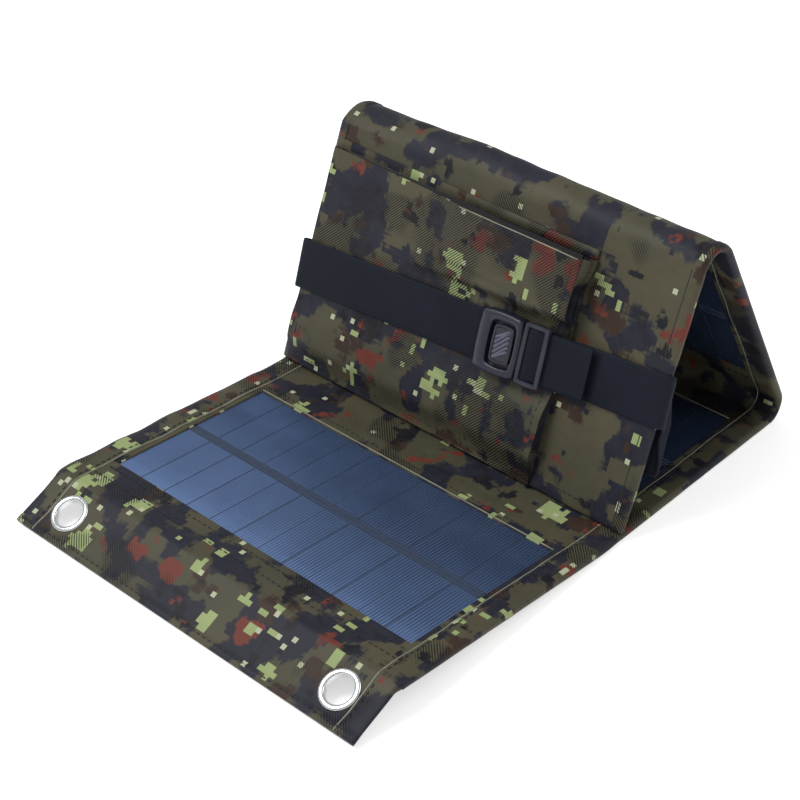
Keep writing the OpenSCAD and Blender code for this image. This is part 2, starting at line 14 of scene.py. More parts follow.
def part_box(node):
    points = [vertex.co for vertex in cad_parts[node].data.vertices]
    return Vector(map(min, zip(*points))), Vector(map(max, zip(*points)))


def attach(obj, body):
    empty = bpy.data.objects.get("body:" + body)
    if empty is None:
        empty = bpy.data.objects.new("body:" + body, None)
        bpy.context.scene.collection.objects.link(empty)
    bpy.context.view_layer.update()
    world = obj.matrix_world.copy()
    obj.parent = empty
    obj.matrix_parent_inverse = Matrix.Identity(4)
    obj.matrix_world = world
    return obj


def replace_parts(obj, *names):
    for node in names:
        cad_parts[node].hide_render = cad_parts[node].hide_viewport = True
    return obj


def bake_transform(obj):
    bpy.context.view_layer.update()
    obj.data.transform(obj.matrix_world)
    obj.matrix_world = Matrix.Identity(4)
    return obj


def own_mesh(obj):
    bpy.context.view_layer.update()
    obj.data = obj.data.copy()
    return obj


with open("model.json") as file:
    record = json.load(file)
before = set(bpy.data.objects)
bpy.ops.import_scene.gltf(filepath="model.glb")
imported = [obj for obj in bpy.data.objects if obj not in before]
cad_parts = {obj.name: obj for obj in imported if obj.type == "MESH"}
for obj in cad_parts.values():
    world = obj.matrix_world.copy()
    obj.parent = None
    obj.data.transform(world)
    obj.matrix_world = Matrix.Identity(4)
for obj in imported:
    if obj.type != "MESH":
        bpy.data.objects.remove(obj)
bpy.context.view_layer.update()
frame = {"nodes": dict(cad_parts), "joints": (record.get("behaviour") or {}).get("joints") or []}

MM = 0.001
ACROSS = np.array([1.0, 0.0, 0.0])
LEAVES = "abcd"
SIDES = {"left": -1, "right": 1}


# ---- the camera ----

def add_camera():
    azimuth, elevation, roll = (math.radians(v) for v in (43.505, 35.762, -1.282))
    forward = Vector((-math.sin(azimuth) * math.cos(elevation),
                      math.cos(azimuth) * math.cos(elevation), -math.sin(elevation)))
    level = Vector((math.cos(azimuth), math.sin(azimuth), 0))
    upright = level.cross(forward)
    right = level * math.cos(roll) + upright * math.sin(roll)
    up = upright * math.cos(roll) - level * math.sin(roll)
    stand = Vector((0.5073, -0.6208, 0.5734))
    data = bpy.data.cameras.new("camera")
    data.sensor_width = 36
    data.lens = 89.1
    camera = bpy.data.objects.new("camera", data)
    turn = Matrix((right, up, -forward)).transposed().to_4x4()
    camera.matrix_world = Matrix.Translation(stand) @ turn
    bpy.context.scene.collection.objects.link(camera)
    bpy.context.scene.camera = camera


# ---- measures taken from the frame ----

def corners(node):
    return np.array([v.co for v in frame["nodes"][node].data.vertices], float)


def span(node, axis):
    low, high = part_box(node)
    return high[axis] - low[axis]


def unit(vector):
    return vector / np.linalg.norm(vector)


JOINTS = {j["name"]: j for j in frame["joints"]}
RISE_A = -JOINTS["fold_ab"]["range_deg"][0]
TURN_C = -JOINTS["fold_bc"]["range_deg"][0]
TURN_D = TURN_C - JOINTS["fold_cd"]["range_deg"][0]
RISE_FLAP = -JOINTS["flap_fold"]["range_deg"][0] - RISE_A
HEADING = {"a": -RISE_A, "b": 0.0, "c": TURN_C, "d": TURN_D}

HALF_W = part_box("leaf_b_binding")[1].x
LEAF_T = span("leaf_b_binding", 2)
HALF_T = LEAF_T / 2
CLOTH_T = span("leaf_b_back_cloth", 2)
LEAF_L = span("leaf_b_stiffener", 1)
WINDOW_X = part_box("leaf_b_film")[1].x
WINDOW_Y = (LEAF_L - span("leaf_b_film", 1)) / 2
WINDOW_END = LEAF_L - WINDOW_Y
FILM_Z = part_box("leaf_b_film")[1].z - HALF_T
FLAP_T = 1.3 * MM


class Place:
    """A flat frame: x across, y along and z out of its upper face."""

    def __init__(self, origin, along, out, across=ACROSS):
        self.origin, self.along, self.out, self.across = origin, along, out, across

    def at(self, x, y, z=0.0):
        return self.origin + x * self.across + y * self.along + z * self.out

    def box(self, node):
        """A CAD node's least and most x, y and z in this frame."""
        away = corners(node) - self.origin
        return [((away @ axis).min(), (away @ axis).max()) for axis in (self.across, self.along, self.out)]


def directions(heading):
    angle = math.radians(heading)
    along = np.array([0.0, math.cos(angle), math.sin(angle)])
    return along, np.array([0.0, -along[2], along[1]])


def leaf_place(k):
    along, out = directions(HEADING[k])
    board = corners(f"leaf_{k}_stiffener")
    middle = (board @ out).min() + HALF_T - CLOTH_T
    return Place((board @ along).min() * along + middle * out, along, out)


def flap_place():
    along, out = directions(RISE_FLAP)
    cloth = corners("flap_cloth")
    middle = ((cloth @ out).max() + (cloth @ out).min()) / 2
    return Place((cloth @ along).max() * along + middle * out, along, out)


PLACE = {k: leaf_place(k) for k in LEAVES}
# Where each leaf's binding starts and ends along the leaf
REACH = {k: PLACE[k].box(f"leaf_{k}_binding")[1] for k in LEAVES}
BACK = Place(PLACE["d"].at(0, 0, -HALF_T), PLACE["d"].along, -PLACE["d"].out)
APRON_END = PLACE["a"].at(0, REACH["a"][0])

FLAP = flap_place()
FLAP_L = -FLAP.box("flap_cloth")[1][0]
EYELETS = corners("eyelet_barrels")
EYELET_R = (EYELETS[:, 0].max() - EYELETS[EYELETS[:, 0] > 0][:, 0].min()) / 2
EYELET_X = EYELETS[:, 0].max() - EYELET_R
EYELET_Y = sum(FLAP.box("eyelet_barrels")[1]) / 2

# Depth of cloth outside the CAD layers, so that no hidden layer shows through
SKIN = 0.15 * MM
HEM_W = 12 * MM
HEM_T = 0.45 * MM
HEM_STEP = 0.5 * MM
OUTER_HEM_W = 5.2 * MM


# ---- small mathematics ----

def smooth(t):
    t = min(max(t, 0.0), 1.0)
    return t * t * (3 - 2 * t)


def ramp(value, low, high):
    return smooth((value - low) / (high - low))


def bump_at(value, centre, half):
    return math.exp(-((value - centre) / half) ** 2)


def ripple(x, y, size, seed):
    return noise.noise(Vector((x / size, y / size, seed)))


def spaced(low, high, step, *marks):
    """Even stations from low to high, with every mark among them."""
    count = max(2, round((high - low) / step) + 1)
    marks = [m for m in marks if low < m < high]
    even = [v for v in np.linspace(low, high, count) if all(abs(v - m) > step / 3 for m in marks)]
    return sorted({low, high, *even, *marks})


def round_loop(centre, side, up, radius, sides):
    """Points of a circle in the plane of two directions."""
    turns = [2 * math.pi * k / sides for k in range(sides)]
    return [centre + radius * (math.cos(t) * side + math.sin(t) * up) for t in turns]


def arc_length(start, end, turn):
    """Length of a round arc between two points, which turns by an angle in degrees."""
    half = math.radians(turn) / 2
    return np.linalg.norm(end - start) * half / math.sin(half)


def fold_length(first, second):
    return arc_length(PLACE[first].at(0, LEAF_L), PLACE[second].origin, HEADING[second] - HEADING[first])


def run_of(k):
    """How far along the cloth leaf k starts, counted from leaf A's board."""
    before = LEAVES[:LEAVES.index(k)]
    return sum(LEAF_L + fold_length(*pair) for pair in zip(before, LEAVES[1:]))


# ---- meshes ----

def add_object(name, points, faces, weave=None, smooth_faces=True):
    mesh = bpy.data.meshes.new(name)
    mesh.from_pydata([tuple(p) for p in points], [], faces)
    mesh.update()
    if weave is not None:
        layer = mesh.attributes.new("weave", "FLOAT_VECTOR", "POINT")
        layer.data.foreach_set("vector", np.array(weave, np.float32).ravel())
    mesh.polygons.foreach_set("use_smooth", [smooth_faces] * len(mesh.polygons))
    piece = bpy.data.objects.new(name, mesh)
    bpy.context.scene.collection.objects.link(piece)
    return piece


def sharpened(piece):
    """Keeps a hard piece's corners crisp."""
    piece.modifiers.new("edges", "EDGE_SPLIT").split_angle = math.radians(38)
    return piece


def skinned(start, size, count, ring=False):
    """Faces over count loops of size points each: bands between the loops and a face on each end."""
    faces = []
    for i in range(count if ring else count - 1):
        here, there = start + i * size, start + (i + 1) % count * size
        for j in range(size):
            k = (j + 1) % size
            faces.append((here + j, here + k, there + k, there + j))
    if not ring:
        faces.append(tuple(range(start, start + size))[::-1])
        faces.append(tuple(range(start + (count - 1) * size, start + count * size)))
    return faces


class Row:
    """One cross-section of a cloth shell: its frame, its place along the cloth and how far it is open."""

    def __init__(self, place, y, v, open_=1.0, origin=None):
        self.place, self.y, self.v, self.open = place, y, v, open_
        self.origin = place.at(0, y) if origin is None else origin


def straight_rows(place, ys, v0):
    return [Row(place, y, v0 + y) for y in ys]


def closing_rows(place, y_end, radius, v0, sign=1, least=0.02):
    """Rows that round a shell off at its free end, open by the least share at its tip."""
    angles = [math.pi / 2 * i / 5 for i in range(1, 6)][::sign]
    ys = [y_end + sign * radius * (math.sin(a) - 1) for a in angles]
    return [Row(place, y, v0 + y, max(math.cos(a), least)) for a, y in zip(angles, ys)]


def arc_rows(start, heading, turn, length, y0, v0, count, skip=0):
    """Rows along a round fold from a starting point, with its heading and turn in degrees."""
    rows = []
    for i in range(skip, count + 1):
        along, out = directions(heading + turn * i / count)
        origin = start + length / math.radians(turn) * (directions(heading)[1] - out)
        run = length * i / count
        rows.append(Row(Place(origin, along, out), y0 + run, v0 + run, 1.0, origin))
    return rows


def side_arc(a, b, side, steps=4):
    """Points of a half round from a to b, both (x, z), bulging to one side."""
    middle, radius = (a[1] + b[1]) / 2, (a[1] - b[1]) / 2
    turns = [math.pi / 2 - math.pi * i / steps for i in range(1, steps)]
    return [(a[0] + side * abs(radius) * math.cos(t), middle + radius * math.sin(t)) for t in turns]


def in_window(x, y):
    return abs(x) < WINDOW_X and WINDOW_Y < y < WINDOW_END


def shell(name, rows, xs, top, low, hole=None, window=False):
    """A closed cloth shell. top and low give its two faces at (x, y), and hole(x, y) cuts both."""
    points, weave, faces = [], [], []
    for row in rows:
        upper = [(x, top(x, row.y) * row.open) for x in xs]
        lower = [(x, low(x, row.y) * row.open) for x in reversed(xs)]
        loop = upper + side_arc(upper[-1], lower[0], 1) + lower + side_arc(upper[0], lower[-1], -1)[::-1]
        if not weave:
            steps = [math.dist(a, b) for a, b in zip(loop, loop[1:])]
            run = xs[0] + np.concatenate([[0.0], np.cumsum(steps)])
        points += [row.origin + x * row.place.across + z * row.place.out for x, z in loop]
        weave += [(u, row.v, 0.0) for u in run]
    size, count = len(loop), len(xs)
    middles = {}
    for j in range(count - 1):
        middles[j] = middles[size // 2 + count - 2 - j] = (xs[j] + xs[j + 1]) / 2
    for i in range(len(rows) - 1):
        y = (rows[i].y + rows[i + 1].y) / 2
        for j in range(size):
            x = middles.get(j)
            cut = x is not None and (hole and hole(x, y) or window and j < count and in_window(x, y))
            if not cut:
                a, b = i * size + j, i * size + (j + 1) % size
                faces.append((a, b, b + size, a + size))
    if window:
        add_window_wall(points, weave, faces, rows, xs, top)
    for row, order in ((0, 1), (len(rows) - 1, -1)):
        start = len(points)
        points += points[row * size:(row + 1) * size]
        weave += weave[row * size:(row + 1) * size]
        faces.append(tuple(range(start, start + size))[::order])
    place = rows[0].place
    if np.dot(np.cross(place.across, place.along), place.out) < 0:
        faces = [f[::-1] for f in faces]
    return add_object(name, points, faces, weave)


def add_window_wall(points, weave, faces, rows, xs, top):
    """The cloth's folded edge round the window, down to the cover film."""
    near, inset, seat = 1e-6, 0.35 * MM, FILM_Z + 0.03 * MM
    ys = [r.y for r in rows if WINDOW_Y - near <= r.y <= WINDOW_END + near]
    wx = [x for x in xs if abs(x) <= WINDOW_X + near]
    ring = [(x, ys[0]) for x in wx] + [(wx[-1], y) for y in ys[1:]]
    ring += [(x, ys[-1]) for x in wx[-2::-1]] + [(wx[0], y) for y in ys[-2:0:-1]]
    place, v0 = rows[0].place, rows[0].v - rows[0].y
    start = len(points)
    for i, (x, y) in enumerate(ring):
        inner_x = max(min(x, WINDOW_X - inset), inset - WINDOW_X)
        inner_y = max(min(y, WINDOW_END - inset), WINDOW_Y + inset)
        points += [place.at(x, y, top(x, y)), place.at(inner_x, inner_y, seat)]
        weave += [(x, v0 + y, 0.0), (inner_x, v0 + inner_y, 0.0)]
        a, b = start + 2 * i, start + 2 * ((i + 1) % len(ring))
        faces.append((a, b, b + 1, a + 1))


def tube(name, route, radius, sides=8):
    """A thin round strip along a list of points, for piping and cords of thread."""
    points = []
    for i, p in enumerate(route):
        ahead = unit(route[min(i + 1, len(route) - 1)] - route[max(i - 1, 0)])
        # Any direction will do here that no strip runs along
        side = unit(np.cross(ahead, [0.3, 0.2, 0.93]))
        points += round_loop(p, side, np.cross(side, ahead), radius, sides)
    return add_object(name, points, skinned(0, sides, len(route)))


class Stitches:
    """Many thread stitches in one mesh: each is a small rounded bar."""

    LENGTH, PITCH, RADIUS, SIDES = 2.3 * MM, 3.3 * MM, 0.27 * MM, 6
    # Where a stitch's loops lie along it and how thick it is there
    STATIONS = ((-1.0, 0.25), (-0.75, 0.85), (0.0, 1.0), (0.75, 0.85), (1.0, 0.25))

    def __init__(self):
        self.points, self.faces = [], []

    def bar(self, centre, ahead, out):
        self.faces += skinned(len(self.points), self.SIDES, len(self.STATIONS))
        for s, size in self.STATIONS:
            lift = self.RADIUS * 0.6 * (1 - s * s)
            middle = centre + s * self.LENGTH / 2 * ahead + lift * out
            self.points += round_loop(middle, np.cross(ahead, out), out, self.RADIUS * size, self.SIDES)

    def line(self, surface, begin, end):
        """A row of stitches from begin to end, both (x, y); surface(x, y) gives a point and its normal."""
        count = max(1, int(math.dist(begin, end) / self.PITCH))
        for i in range(count):
            middle, nearby = ([b + (e - b) * (i + share) / count for b, e in zip(begin, end)]
                              for share in (0.5, 0.7))
            centre, out = surface(*middle)
            self.bar(centre, unit(surface(*nearby)[0] - centre), out)

    def finish(self, name, body):
        fit(add_object(name, self.points, self.faces), "thread", body)


# ---- materials ----

def linear(hex_colour):
    """A linear colour from its usual hexadecimal form."""
    parts = [int(hex_colour[i:i + 2], 16) / 255 for i in (1, 3, 5)]
    return tuple(c / 12.92 if c <= 0.04045 else ((c + 0.055) / 1.055) ** 2.4 for c in parts)


class Value:
    """What a node gives out, which can be added and multiplied."""

    def __init__(self, graph, socket):
        self.graph, self.socket = graph, socket

    def __add__(self, other):
        return self.graph.maths("ADD", self, other)

    def __mul__(self, other):
        return self.graph.maths("MULTIPLY", self, other)


class Graph:
    """A material's node tree, with a short way to add nodes."""

    def __init__(self, name):
        self.material = bpy.data.materials.new(name)
        self.material.use_nodes = True
        self.tree = self.material.node_tree

    def put(self, socket, value):
        """Sets a socket to a Value, a number, a vector or a hexadecimal colour."""
        if isinstance(value, Value):
            self.tree.links.new(value.socket, socket)
        elif isinstance(value, str):
            socket.default_value = (*linear(value), 1.0)
        else:
            socket.default_value = value

    def node(self, kind, inputs, output=0, **settings):
        """Adds a node and gives one of its outputs."""
        made = self.tree.nodes.new(kind)
        for key, value in settings.items():
            setattr(made, key, value)
        for key, value in inputs.items():
            self.put(made.inputs[key], value)
        return Value(self, made.outputs[output])

    def maths(self, operation, *values):
        return self.node("ShaderNodeMath", dict(enumerate(values)), operation=operation)

    def vector(self, operation, *values, output=0, **inputs):
        inputs.update(enumerate(values))
        return self.node("ShaderNodeVectorMath", inputs, output, operation=operation)

    def part(self, vector, axis):
        return self.node("ShaderNodeSeparateXYZ", {0: vector}, axis)

    def mix(self, factor, a, b):
        return self.node("ShaderNodeMix", {0: factor, 6: a, 7: b}, 2, data_type="RGBA")

    def weave(self):
        """Where a point lies on the flat cloth."""
        return self.node("ShaderNodeAttribute", {}, "Vector", attribute_name="weave")

    def place(self):
        return self.node("ShaderNodeTexCoord", {}, "Object")

    def noise(self, vector, size, detail=2.0, rough=0.5, seed=0.0):
        moved = self.vector("ADD", vector, (seed, seed * 1.7, seed * 0.3))
        return self.node("ShaderNodeTexNoise",
                         {"Vector": moved, "Scale": 1 / size, "Detail": detail, "Roughness": rough})

    def grain(self, size, detail=3.0, seed=0.0):
        """Noise fixed to a piece that has no weave."""
        return self.noise(self.place(), size, detail, 0.6, seed)

    def rise(self, value, low, high):
        """0 at low, rising to 1 at high."""
        return self.node("ShaderNodeMapRange", {0: value, 1: low, 2: high})

    def above(self, value, level, soft=0.0):
        if soft:
            return self.rise(value, level - soft, level + soft)
        return self.maths("GREATER_THAN", value, level)

    def bump(self, height, distance, strength, **base):
        inputs = {"Height": height, "Distance": distance, "Strength": strength, **base}
        return self.node("ShaderNodeBump", inputs)

    def set(self, **values):
        for key, value in values.items():
            self.put(self.tree.nodes["Principled BSDF"].inputs[key.replace("_", " ")], value)
        return self.material


PIXEL = 2.5 * MM
TWILL = 1.65 * MM
FINGER = 1.62 * MM
RIB_ACROSS, RIB_ALONG = 2.1 * MM, 1.6 * MM
# Soft blotches from the ground up: size, how rare, noise seed and colour
BLOTCHES = ((0.030, 0.515, 7.7, "#1c1d2a"), (0.026, 0.60, 12.3, "#33241c"), (0.020, 0.60, 33.3, "#101119"))
# Where the print has a cluster: leaf, x and y on the leaf and radius, in millimetres
LIGHT_SPOTS = [
    ("d", -14, 36, 8), ("d", -9, 49, 9), ("d", 22, 27, 7), ("d", -9, 96, 9), ("d", -60, 114, 7),
    ("d", -56, 10, 4), ("d", 66, 19, 9), ("d", 97, 16, 7), ("d", 81, 85, 6), ("d", 99, 80, 8),
    ("d", 74, 101, 8), ("d", 88, 116, 8), ("a", -102, 24, 8), ("a", -88, -2, 7), ("a", -61, -5, 6),
    ("a", -11, -12, 5), ("a", 20, -15, 4), ("a", 73, -15, 6), ("a", 66, -1, 5), ("a", -72, -32, 7),
    ("a", 10, -31, 6), ("a", 51, -34, 5), ("b", 74, -7, 9), ("b", -69, -25, 6),
]
RUST_SPOTS = [("d", 36, 20, 8), ("d", 53, 20, 6), ("d", 62, 52, 6), ("a", 30, -25, 6), ("a", -20, -20, 5)]
# How high the cluster noise has to stand for light pixels, and how many pixels are strays
CLUSTER_LEVEL, STRAY_LEVEL = 0.638, 0.9955


def near_spots(g, weave, spots):
    """1 at the middle of any of the spots, falling to 0 past its radius."""
    total = 0.0
    for k, x, y, radius in spots:
        away = g.vector("DISTANCE", weave, (x * MM, run_of(k) + y * MM, 0.0), output="Value")
        total = g.maths("MAXIMUM", total, g.rise(away, 1.8 * radius * MM, 0.6 * radius * MM))
    return total


def print_colour(g, printed, weave):
    """Soft blotches of navy, brown and rust, with clusters of light pixels and strays over them."""
    def blocks(wide, long):
        size = (wide * PIXEL, long * PIXEL, 1.0)
        return g.vector("MULTIPLY", g.vector("FLOOR", g.vector("DIVIDE", weave, size)), size)

    pixels = blocks(1, 1)
    snapped = g.vector("SCALE", g.vector("FLOOR", g.vector("SCALE", printed, Scale=1 / PIXEL)), Scale=PIXEL)

    def blotch(size, level, seed, raggedness=0.3, soft=0.012, extra=0.0):
        broad = g.noise(weave, size, 2.0, 0.5, seed) * (1 - raggedness)
        fine = g.noise(pixels, size / 2.5, 2.0, 0.5, seed + 1) * raggedness
        return g.above(broad + fine + extra, level, soft)

    colour = g.mix(g.noise(weave, 0.05, seed=3.1), "#36362a", "#544f3c")
    for size, level, seed, shade in BLOTCHES:
        colour = g.mix(blotch(size, level, seed), colour, shade)
    rust = blotch(0.016, 0.63, 21.9, 0.35, 0.02, near_spots(g, printed, RUST_SPOTS) * 0.24)
    colour = g.mix(rust, colour, "#642c22")

    drift = g.noise(pixels, 0.036, 1.0, 0.5, seed=43.0) * 0.6 + 0.2
    cluster = g.maths("MAXIMUM", drift, near_spots(g, snapped, LIGHT_SPOTS) * 0.8)
    masks = []
    for wide, long, seed in ((2, 1, 5.0), (1, 2, 6.0)):
        ragged = g.noise(blocks(wide, long), 0.0065, 1.0, 0.5, seed=seed)
        masks.append(g.above(cluster * 0.5 + ragged * 0.5, CLUSTER_LEVEL))
    green = g.mix(g.noise(weave, 0.03, seed=9.0), "#7f8d5c", "#98a571")
    colour = g.mix(g.maths("MAXIMUM", *masks), colour, green)
    scatter = g.node("ShaderNodeTexWhiteNoise", {"Vector": pixels}, noise_dimensions="3D")
    stray = g.above(scatter + g.above(cluster, 0.56, 0.05) * 0.022, STRAY_LEVEL)
    return g.mix(stray, colour, "#a9ad90")


def camouflage(name, shift=0.0, hatch=0.59):
    """Digital camouflage on coated twill, whose slanting lines stand out in patches."""
    g = Graph(name)
    printed = g.weave()
    weave = g.vector("ADD", printed, (shift, shift, 0.0))
    colour = print_colour(g, printed, weave)

    wave = g.maths("SINE", (g.part(weave, 0) + g.part(weave, 1)) * (2 * math.pi / TWILL))
    patch = g.above(g.noise(weave, 0.032, 1.0, 0.5, seed=55.0), hatch, 0.03)
    colour = g.mix(g.above(wave, 0.0, 0.4) * (patch * 0.86 + 0.02), colour, "#08090c")
    worn = g.noise(weave, 0.006, 4.0, 0.7, seed=60.0)
    colour = g.mix(g.above(worn, 0.6, 0.2) * 0.08, colour, "#77756a")

    normal = g.bump(wave * (patch + 0.12), 0.1 * MM, 0.4)
    normal = g.bump(g.noise(weave, 1.1 * MM, 2.0, 0.6, seed=70.0), 0.07 * MM, 0.5, Normal=normal)
    return g.set(Base_Color=colour, Roughness=worn * 0.22 + 0.46, Normal=normal, Specular_IOR_Level=0.22)


def plain(name, colour, other, roughness, size=0.004, bump=0.00005, **values):
    """A surface that varies between two near colours, with fine relief."""
    g = Graph(name)
    grain = g.grain(size)
    return g.set(Base_Color=g.mix(grain, colour, other), Roughness=grain * 0.12 + (roughness - 0.06),
                 Normal=g.bump(g.grain(size / 6, 2.0, 4.0), bump, 0.5), **values)


def metal(name, colour, other, roughness, size=0.003):
    g = Graph(name)
    grain = g.grain(size)
    return g.set(Base_Color=g.mix(grain, colour, other), Roughness=grain * 0.12 + roughness, Metallic=1.0)


def moulded(name, colour, other, roughness):
    """Moulded plastic with fine texture, paler along its edges, where a highlight is painted together with
    rubbed wear.
    """
    g = Graph(name)
    # Pointiness finds the edges, which get a painted highlight and rubbed wear in one pale colour
    edge = g.node("ShaderNodeNewGeometry", {}, "Pointiness")
    base = g.mix(g.grain(0.012), colour, other)
    return g.set(Base_Color=g.mix(g.above(edge, 0.6, 0.04) * 0.8, base, "#77788c"), Roughness=roughness,
                 Specular_IOR_Level=0.5, Normal=g.bump(g.grain(0.6 * MM, 2.0, 3.0), 0.04 * MM, 0.6))


def webbing_material():
    """Woven strap with ribs both ways."""
    g = Graph("webbing")
    weave = g.weave()
    across = g.maths("SINE", g.part(weave, 0) * (2 * math.pi / RIB_ACROSS))
    along = g.maths("SINE", g.part(weave, 1) * (2 * math.pi / RIB_ALONG))
    knit = across * 0.7 + along * 0.45
    colour = g.mix(g.noise(weave, 0.03, 3.0, 0.6, seed=2.0), "#14161f", "#1c202c")
    colour = g.mix(g.above(knit, 0.2, 0.6) * 0.18, colour, "#0b0d12")
    return g.set(Base_Color=colour, Roughness=0.7, Specular_IOR_Level=0.14,
                 Normal=g.bump(knit, 0.1 * MM, 0.35))


def shaded_inside(g, along, colour):
    """Paints shade over what lies under the tent, behind leaf A's fold."""
    return g.mix(g.above(along, float(PLACE["b"].origin[1])) * 0.4, colour, "#0a0f1e")


def ribbon_material():
    """The dark strip between the two rows of cells."""
    g = Graph("ribbon")
    # Painted shade under the tent, over the strip's own dark blue
    colour = shaded_inside(g, g.part(g.place(), 1), g.mix(g.grain(0.004), "#1b2740", "#233049"))
    return g.set(Base_Color=colour, Roughness=0.6, Specular_IOR_Level=0.15)


def cell_material():
    """Blue silicon with a painted reflection, brighter at the front and darker towards the rear fold, and
    fine finger lines that run along the leaf.
    """
    g = Graph("solar_cell")
    place = g.place()
    across, along = g.part(place, 0), g.part(place, 1)
    front, back = (float(PLACE["a"].at(0, y)[1]) for y in (WINDOW_Y, WINDOW_END))
    # Painted reflection: the cells run from bright at the window's front to dark at the rear fold; the noise
    # is their own uneven tone
    shade = g.rise(along, front, back) * 0.75 + g.noise(place, 0.03, 3.0, 0.6) * 0.3
    # Painted shade under the tent, over the painted reflection
    blue = shaded_inside(g, along, g.mix(shade, "#7a98cc", "#2a4370"))
    finger = g.maths("FRACT", g.maths("DIVIDE", across, FINGER)) + -0.5
    line = g.above(g.maths("ABSOLUTE", finger), 0.36, 0.06)
    patch = g.above(g.noise(place, 0.04, 2.0, 0.5, seed=3.0), 0.5, 0.14)
    strength = g.rise(across, -0.5 * WINDOW_X, 0.35 * WINDOW_X) * (patch * 0.5 + 0.5) + 0.06
    return g.set(Base_Color=g.mix(line * strength, blue, "#0a1024"), Metallic=0.85, Roughness=0.42,
                 Normal=g.bump(line, 0.03 * MM, 0.25))


def film_material():
    """The clear film over the cells."""
    g = Graph("cover_film")
    return g.set(Base_Color="#8ea3c4", Roughness=g.grain(0.03) * 0.15 + 0.25, Alpha=0.05)


MATERIALS = {
    "camo": camouflage("camouflage"),
    "camo_pocket": camouflage("camouflage_pocket", 244 * PIXEL, 0.52),
    # Folded edges: pale for worn cloth and a painted highlight
    "lip": plain("folded_edge", "#4c4b40", "#9a9c88", 0.5, 0.009),
    "thread": plain("thread", "#0d0e11", "#22242a", 0.7, 0.002),
    "webbing": webbing_material(),
    "cells": cell_material(),
    "film": film_material(),
    "backing": plain("backing", "#070a10", "#0c111b", 0.45, 0.01),
    "ribbon": ribbon_material(),
    "board": plain("board", "#7e7a68", "#948f7b", 0.8, 0.003),
    "cable": plain("cable", "#101014", "#1c1c22", 0.5, 0.003),
    "eyelet": metal("eyelet_metal", "#cfd1d4", "#e2e4e6", 0.1, 0.02),
    "tape": plain("closure_tape", "#121215", "#26262b", 0.9, 0.0012, 0.0003, Sheen_Weight=0.3),
    "housing": moulded("housing", "#141518", "#1e1f24", 0.5),
    "circuit": plain("circuit_board", "#12492c", "#1d6a41", 0.35, 0.003),
    "ferrite": plain("ferrite", "#2a2a2d", "#3c3c40", 0.7, 0.002),
    "steel": metal("steel", "#b4b7ba", "#cfd2d4", 0.25),
    "lens": plain("light_lens", "#9fd8ff", "#d3efff", 0.15, 0.004),
    "buckle": moulded("buckle", "#191a26", "#242535", 0.36),
    "button": moulded("button", "#1e1f28", "#2a2b36", 0.34),
}
# The looks of the CAD nodes that stay in sight, by a word in their names
NODE_LOOKS = {
    "stiffener": "board", "laminate": "backing", "cells": "cells", "ribbons": "ribbon", "film": "film",
    "tape": "tape", "regulator_base": "housing", "regulator_lid": "housing", "regulator_board": "circuit",
    "regulator_coil": "ferrite", "usb": "steel", "status_light": "lens",
}


def dress(piece, look):
    piece.data.materials.clear()
    piece.data.materials.append(MATERIALS[look])
    return piece


def fit(piece, look, body, *nodes):
    """Dresses a piece that moves with a body and stands for some CAD nodes."""
    dress(piece, look)
    if nodes:
        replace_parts(piece, *nodes)
    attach(piece, body)


def dress_cad_nodes():
    for name, node in frame["nodes"].items():
        look = next((v for k, v in NODE_LOOKS.items() if k in name), "camo")
        for place in node.material_slots:
            place.material = MATERIALS[look]


# ---- leaves ----

def hem(x, width=HEM_W):
    return HEM_T * ramp(abs(x), HALF_W - width, HALF_W - width + HEM_STEP)


def fade(y, low, high, over=5 * MM):
    return ramp(y, low, low + over) * ramp(-y, -high, over - high)


def window_lip(x, y):
    """Height of the folded cloth edge beside the window."""
    away = max(abs(x) - WINDOW_X, WINDOW_Y - y, y - WINDOW_END)
    return 0.4 * MM * bump_at(away, 0.7 * MM, 0.9 * MM) if away > -1 * MM else 0.0


def cell_side(k):
    """Height of leaf k's upper face: quilted cloth that lies flat beside the window."""
    seed = 3.0 + LEAVES.index(k)

    def height(x, y):
        away = max(abs(x) - WINDOW_X, WINDOW_Y - y, y - WINDOW_END, 0.0)
        soft = fade(y, *REACH[k]) * ramp(away, 0, 4 * MM)
        waves = 0.8 * MM * ripple(x, y * 1.6, 26 * MM, seed) + 0.3 * MM * ripple(x, y, 9 * MM, seed + 5)
        return HALF_T + SKIN + hem(x) + window_lip(x, y) + soft * (waves + 0.25 * MM)
    return height


def outer_side(k):
    """Height of leaf k's lower face. Leaf B's lies on the floor, so it is flatter and has no hem."""
    seed = 13.0 + LEAVES.index(k)
    on_floor = k == "b"
    deep = 0.2 * MM if on_floor else 0.55 * MM

    def height(x, y):
        soft = fade(y, *REACH[k]) * ramp(HALF_W - abs(x), 0, 12 * MM)
        waves = deep * ripple(x, y, 34 * MM, seed) + 0.4 * deep * ripple(x, y, 11 * MM, seed + 5)
        edge = 0.0 if on_floor else hem(x, OUTER_HEM_W)
        return -HALF_T - SKIN - edge - soft * (waves + 0.3 * deep)
    return height


def leaf_stations():
    marks = [WINDOW_X, WINDOW_X + 0.7 * MM, WINDOW_X + 1.6 * MM]
    marks += [HALF_W - width + step for width in (HEM_W, OUTER_HEM_W) for step in (0, HEM_STEP)]
    return spaced(-HALF_W + HALF_T, HALF_W - HALF_T, 2.4 * MM, *[s * m for s in (-1, 1) for m in marks])


XS = leaf_stations()


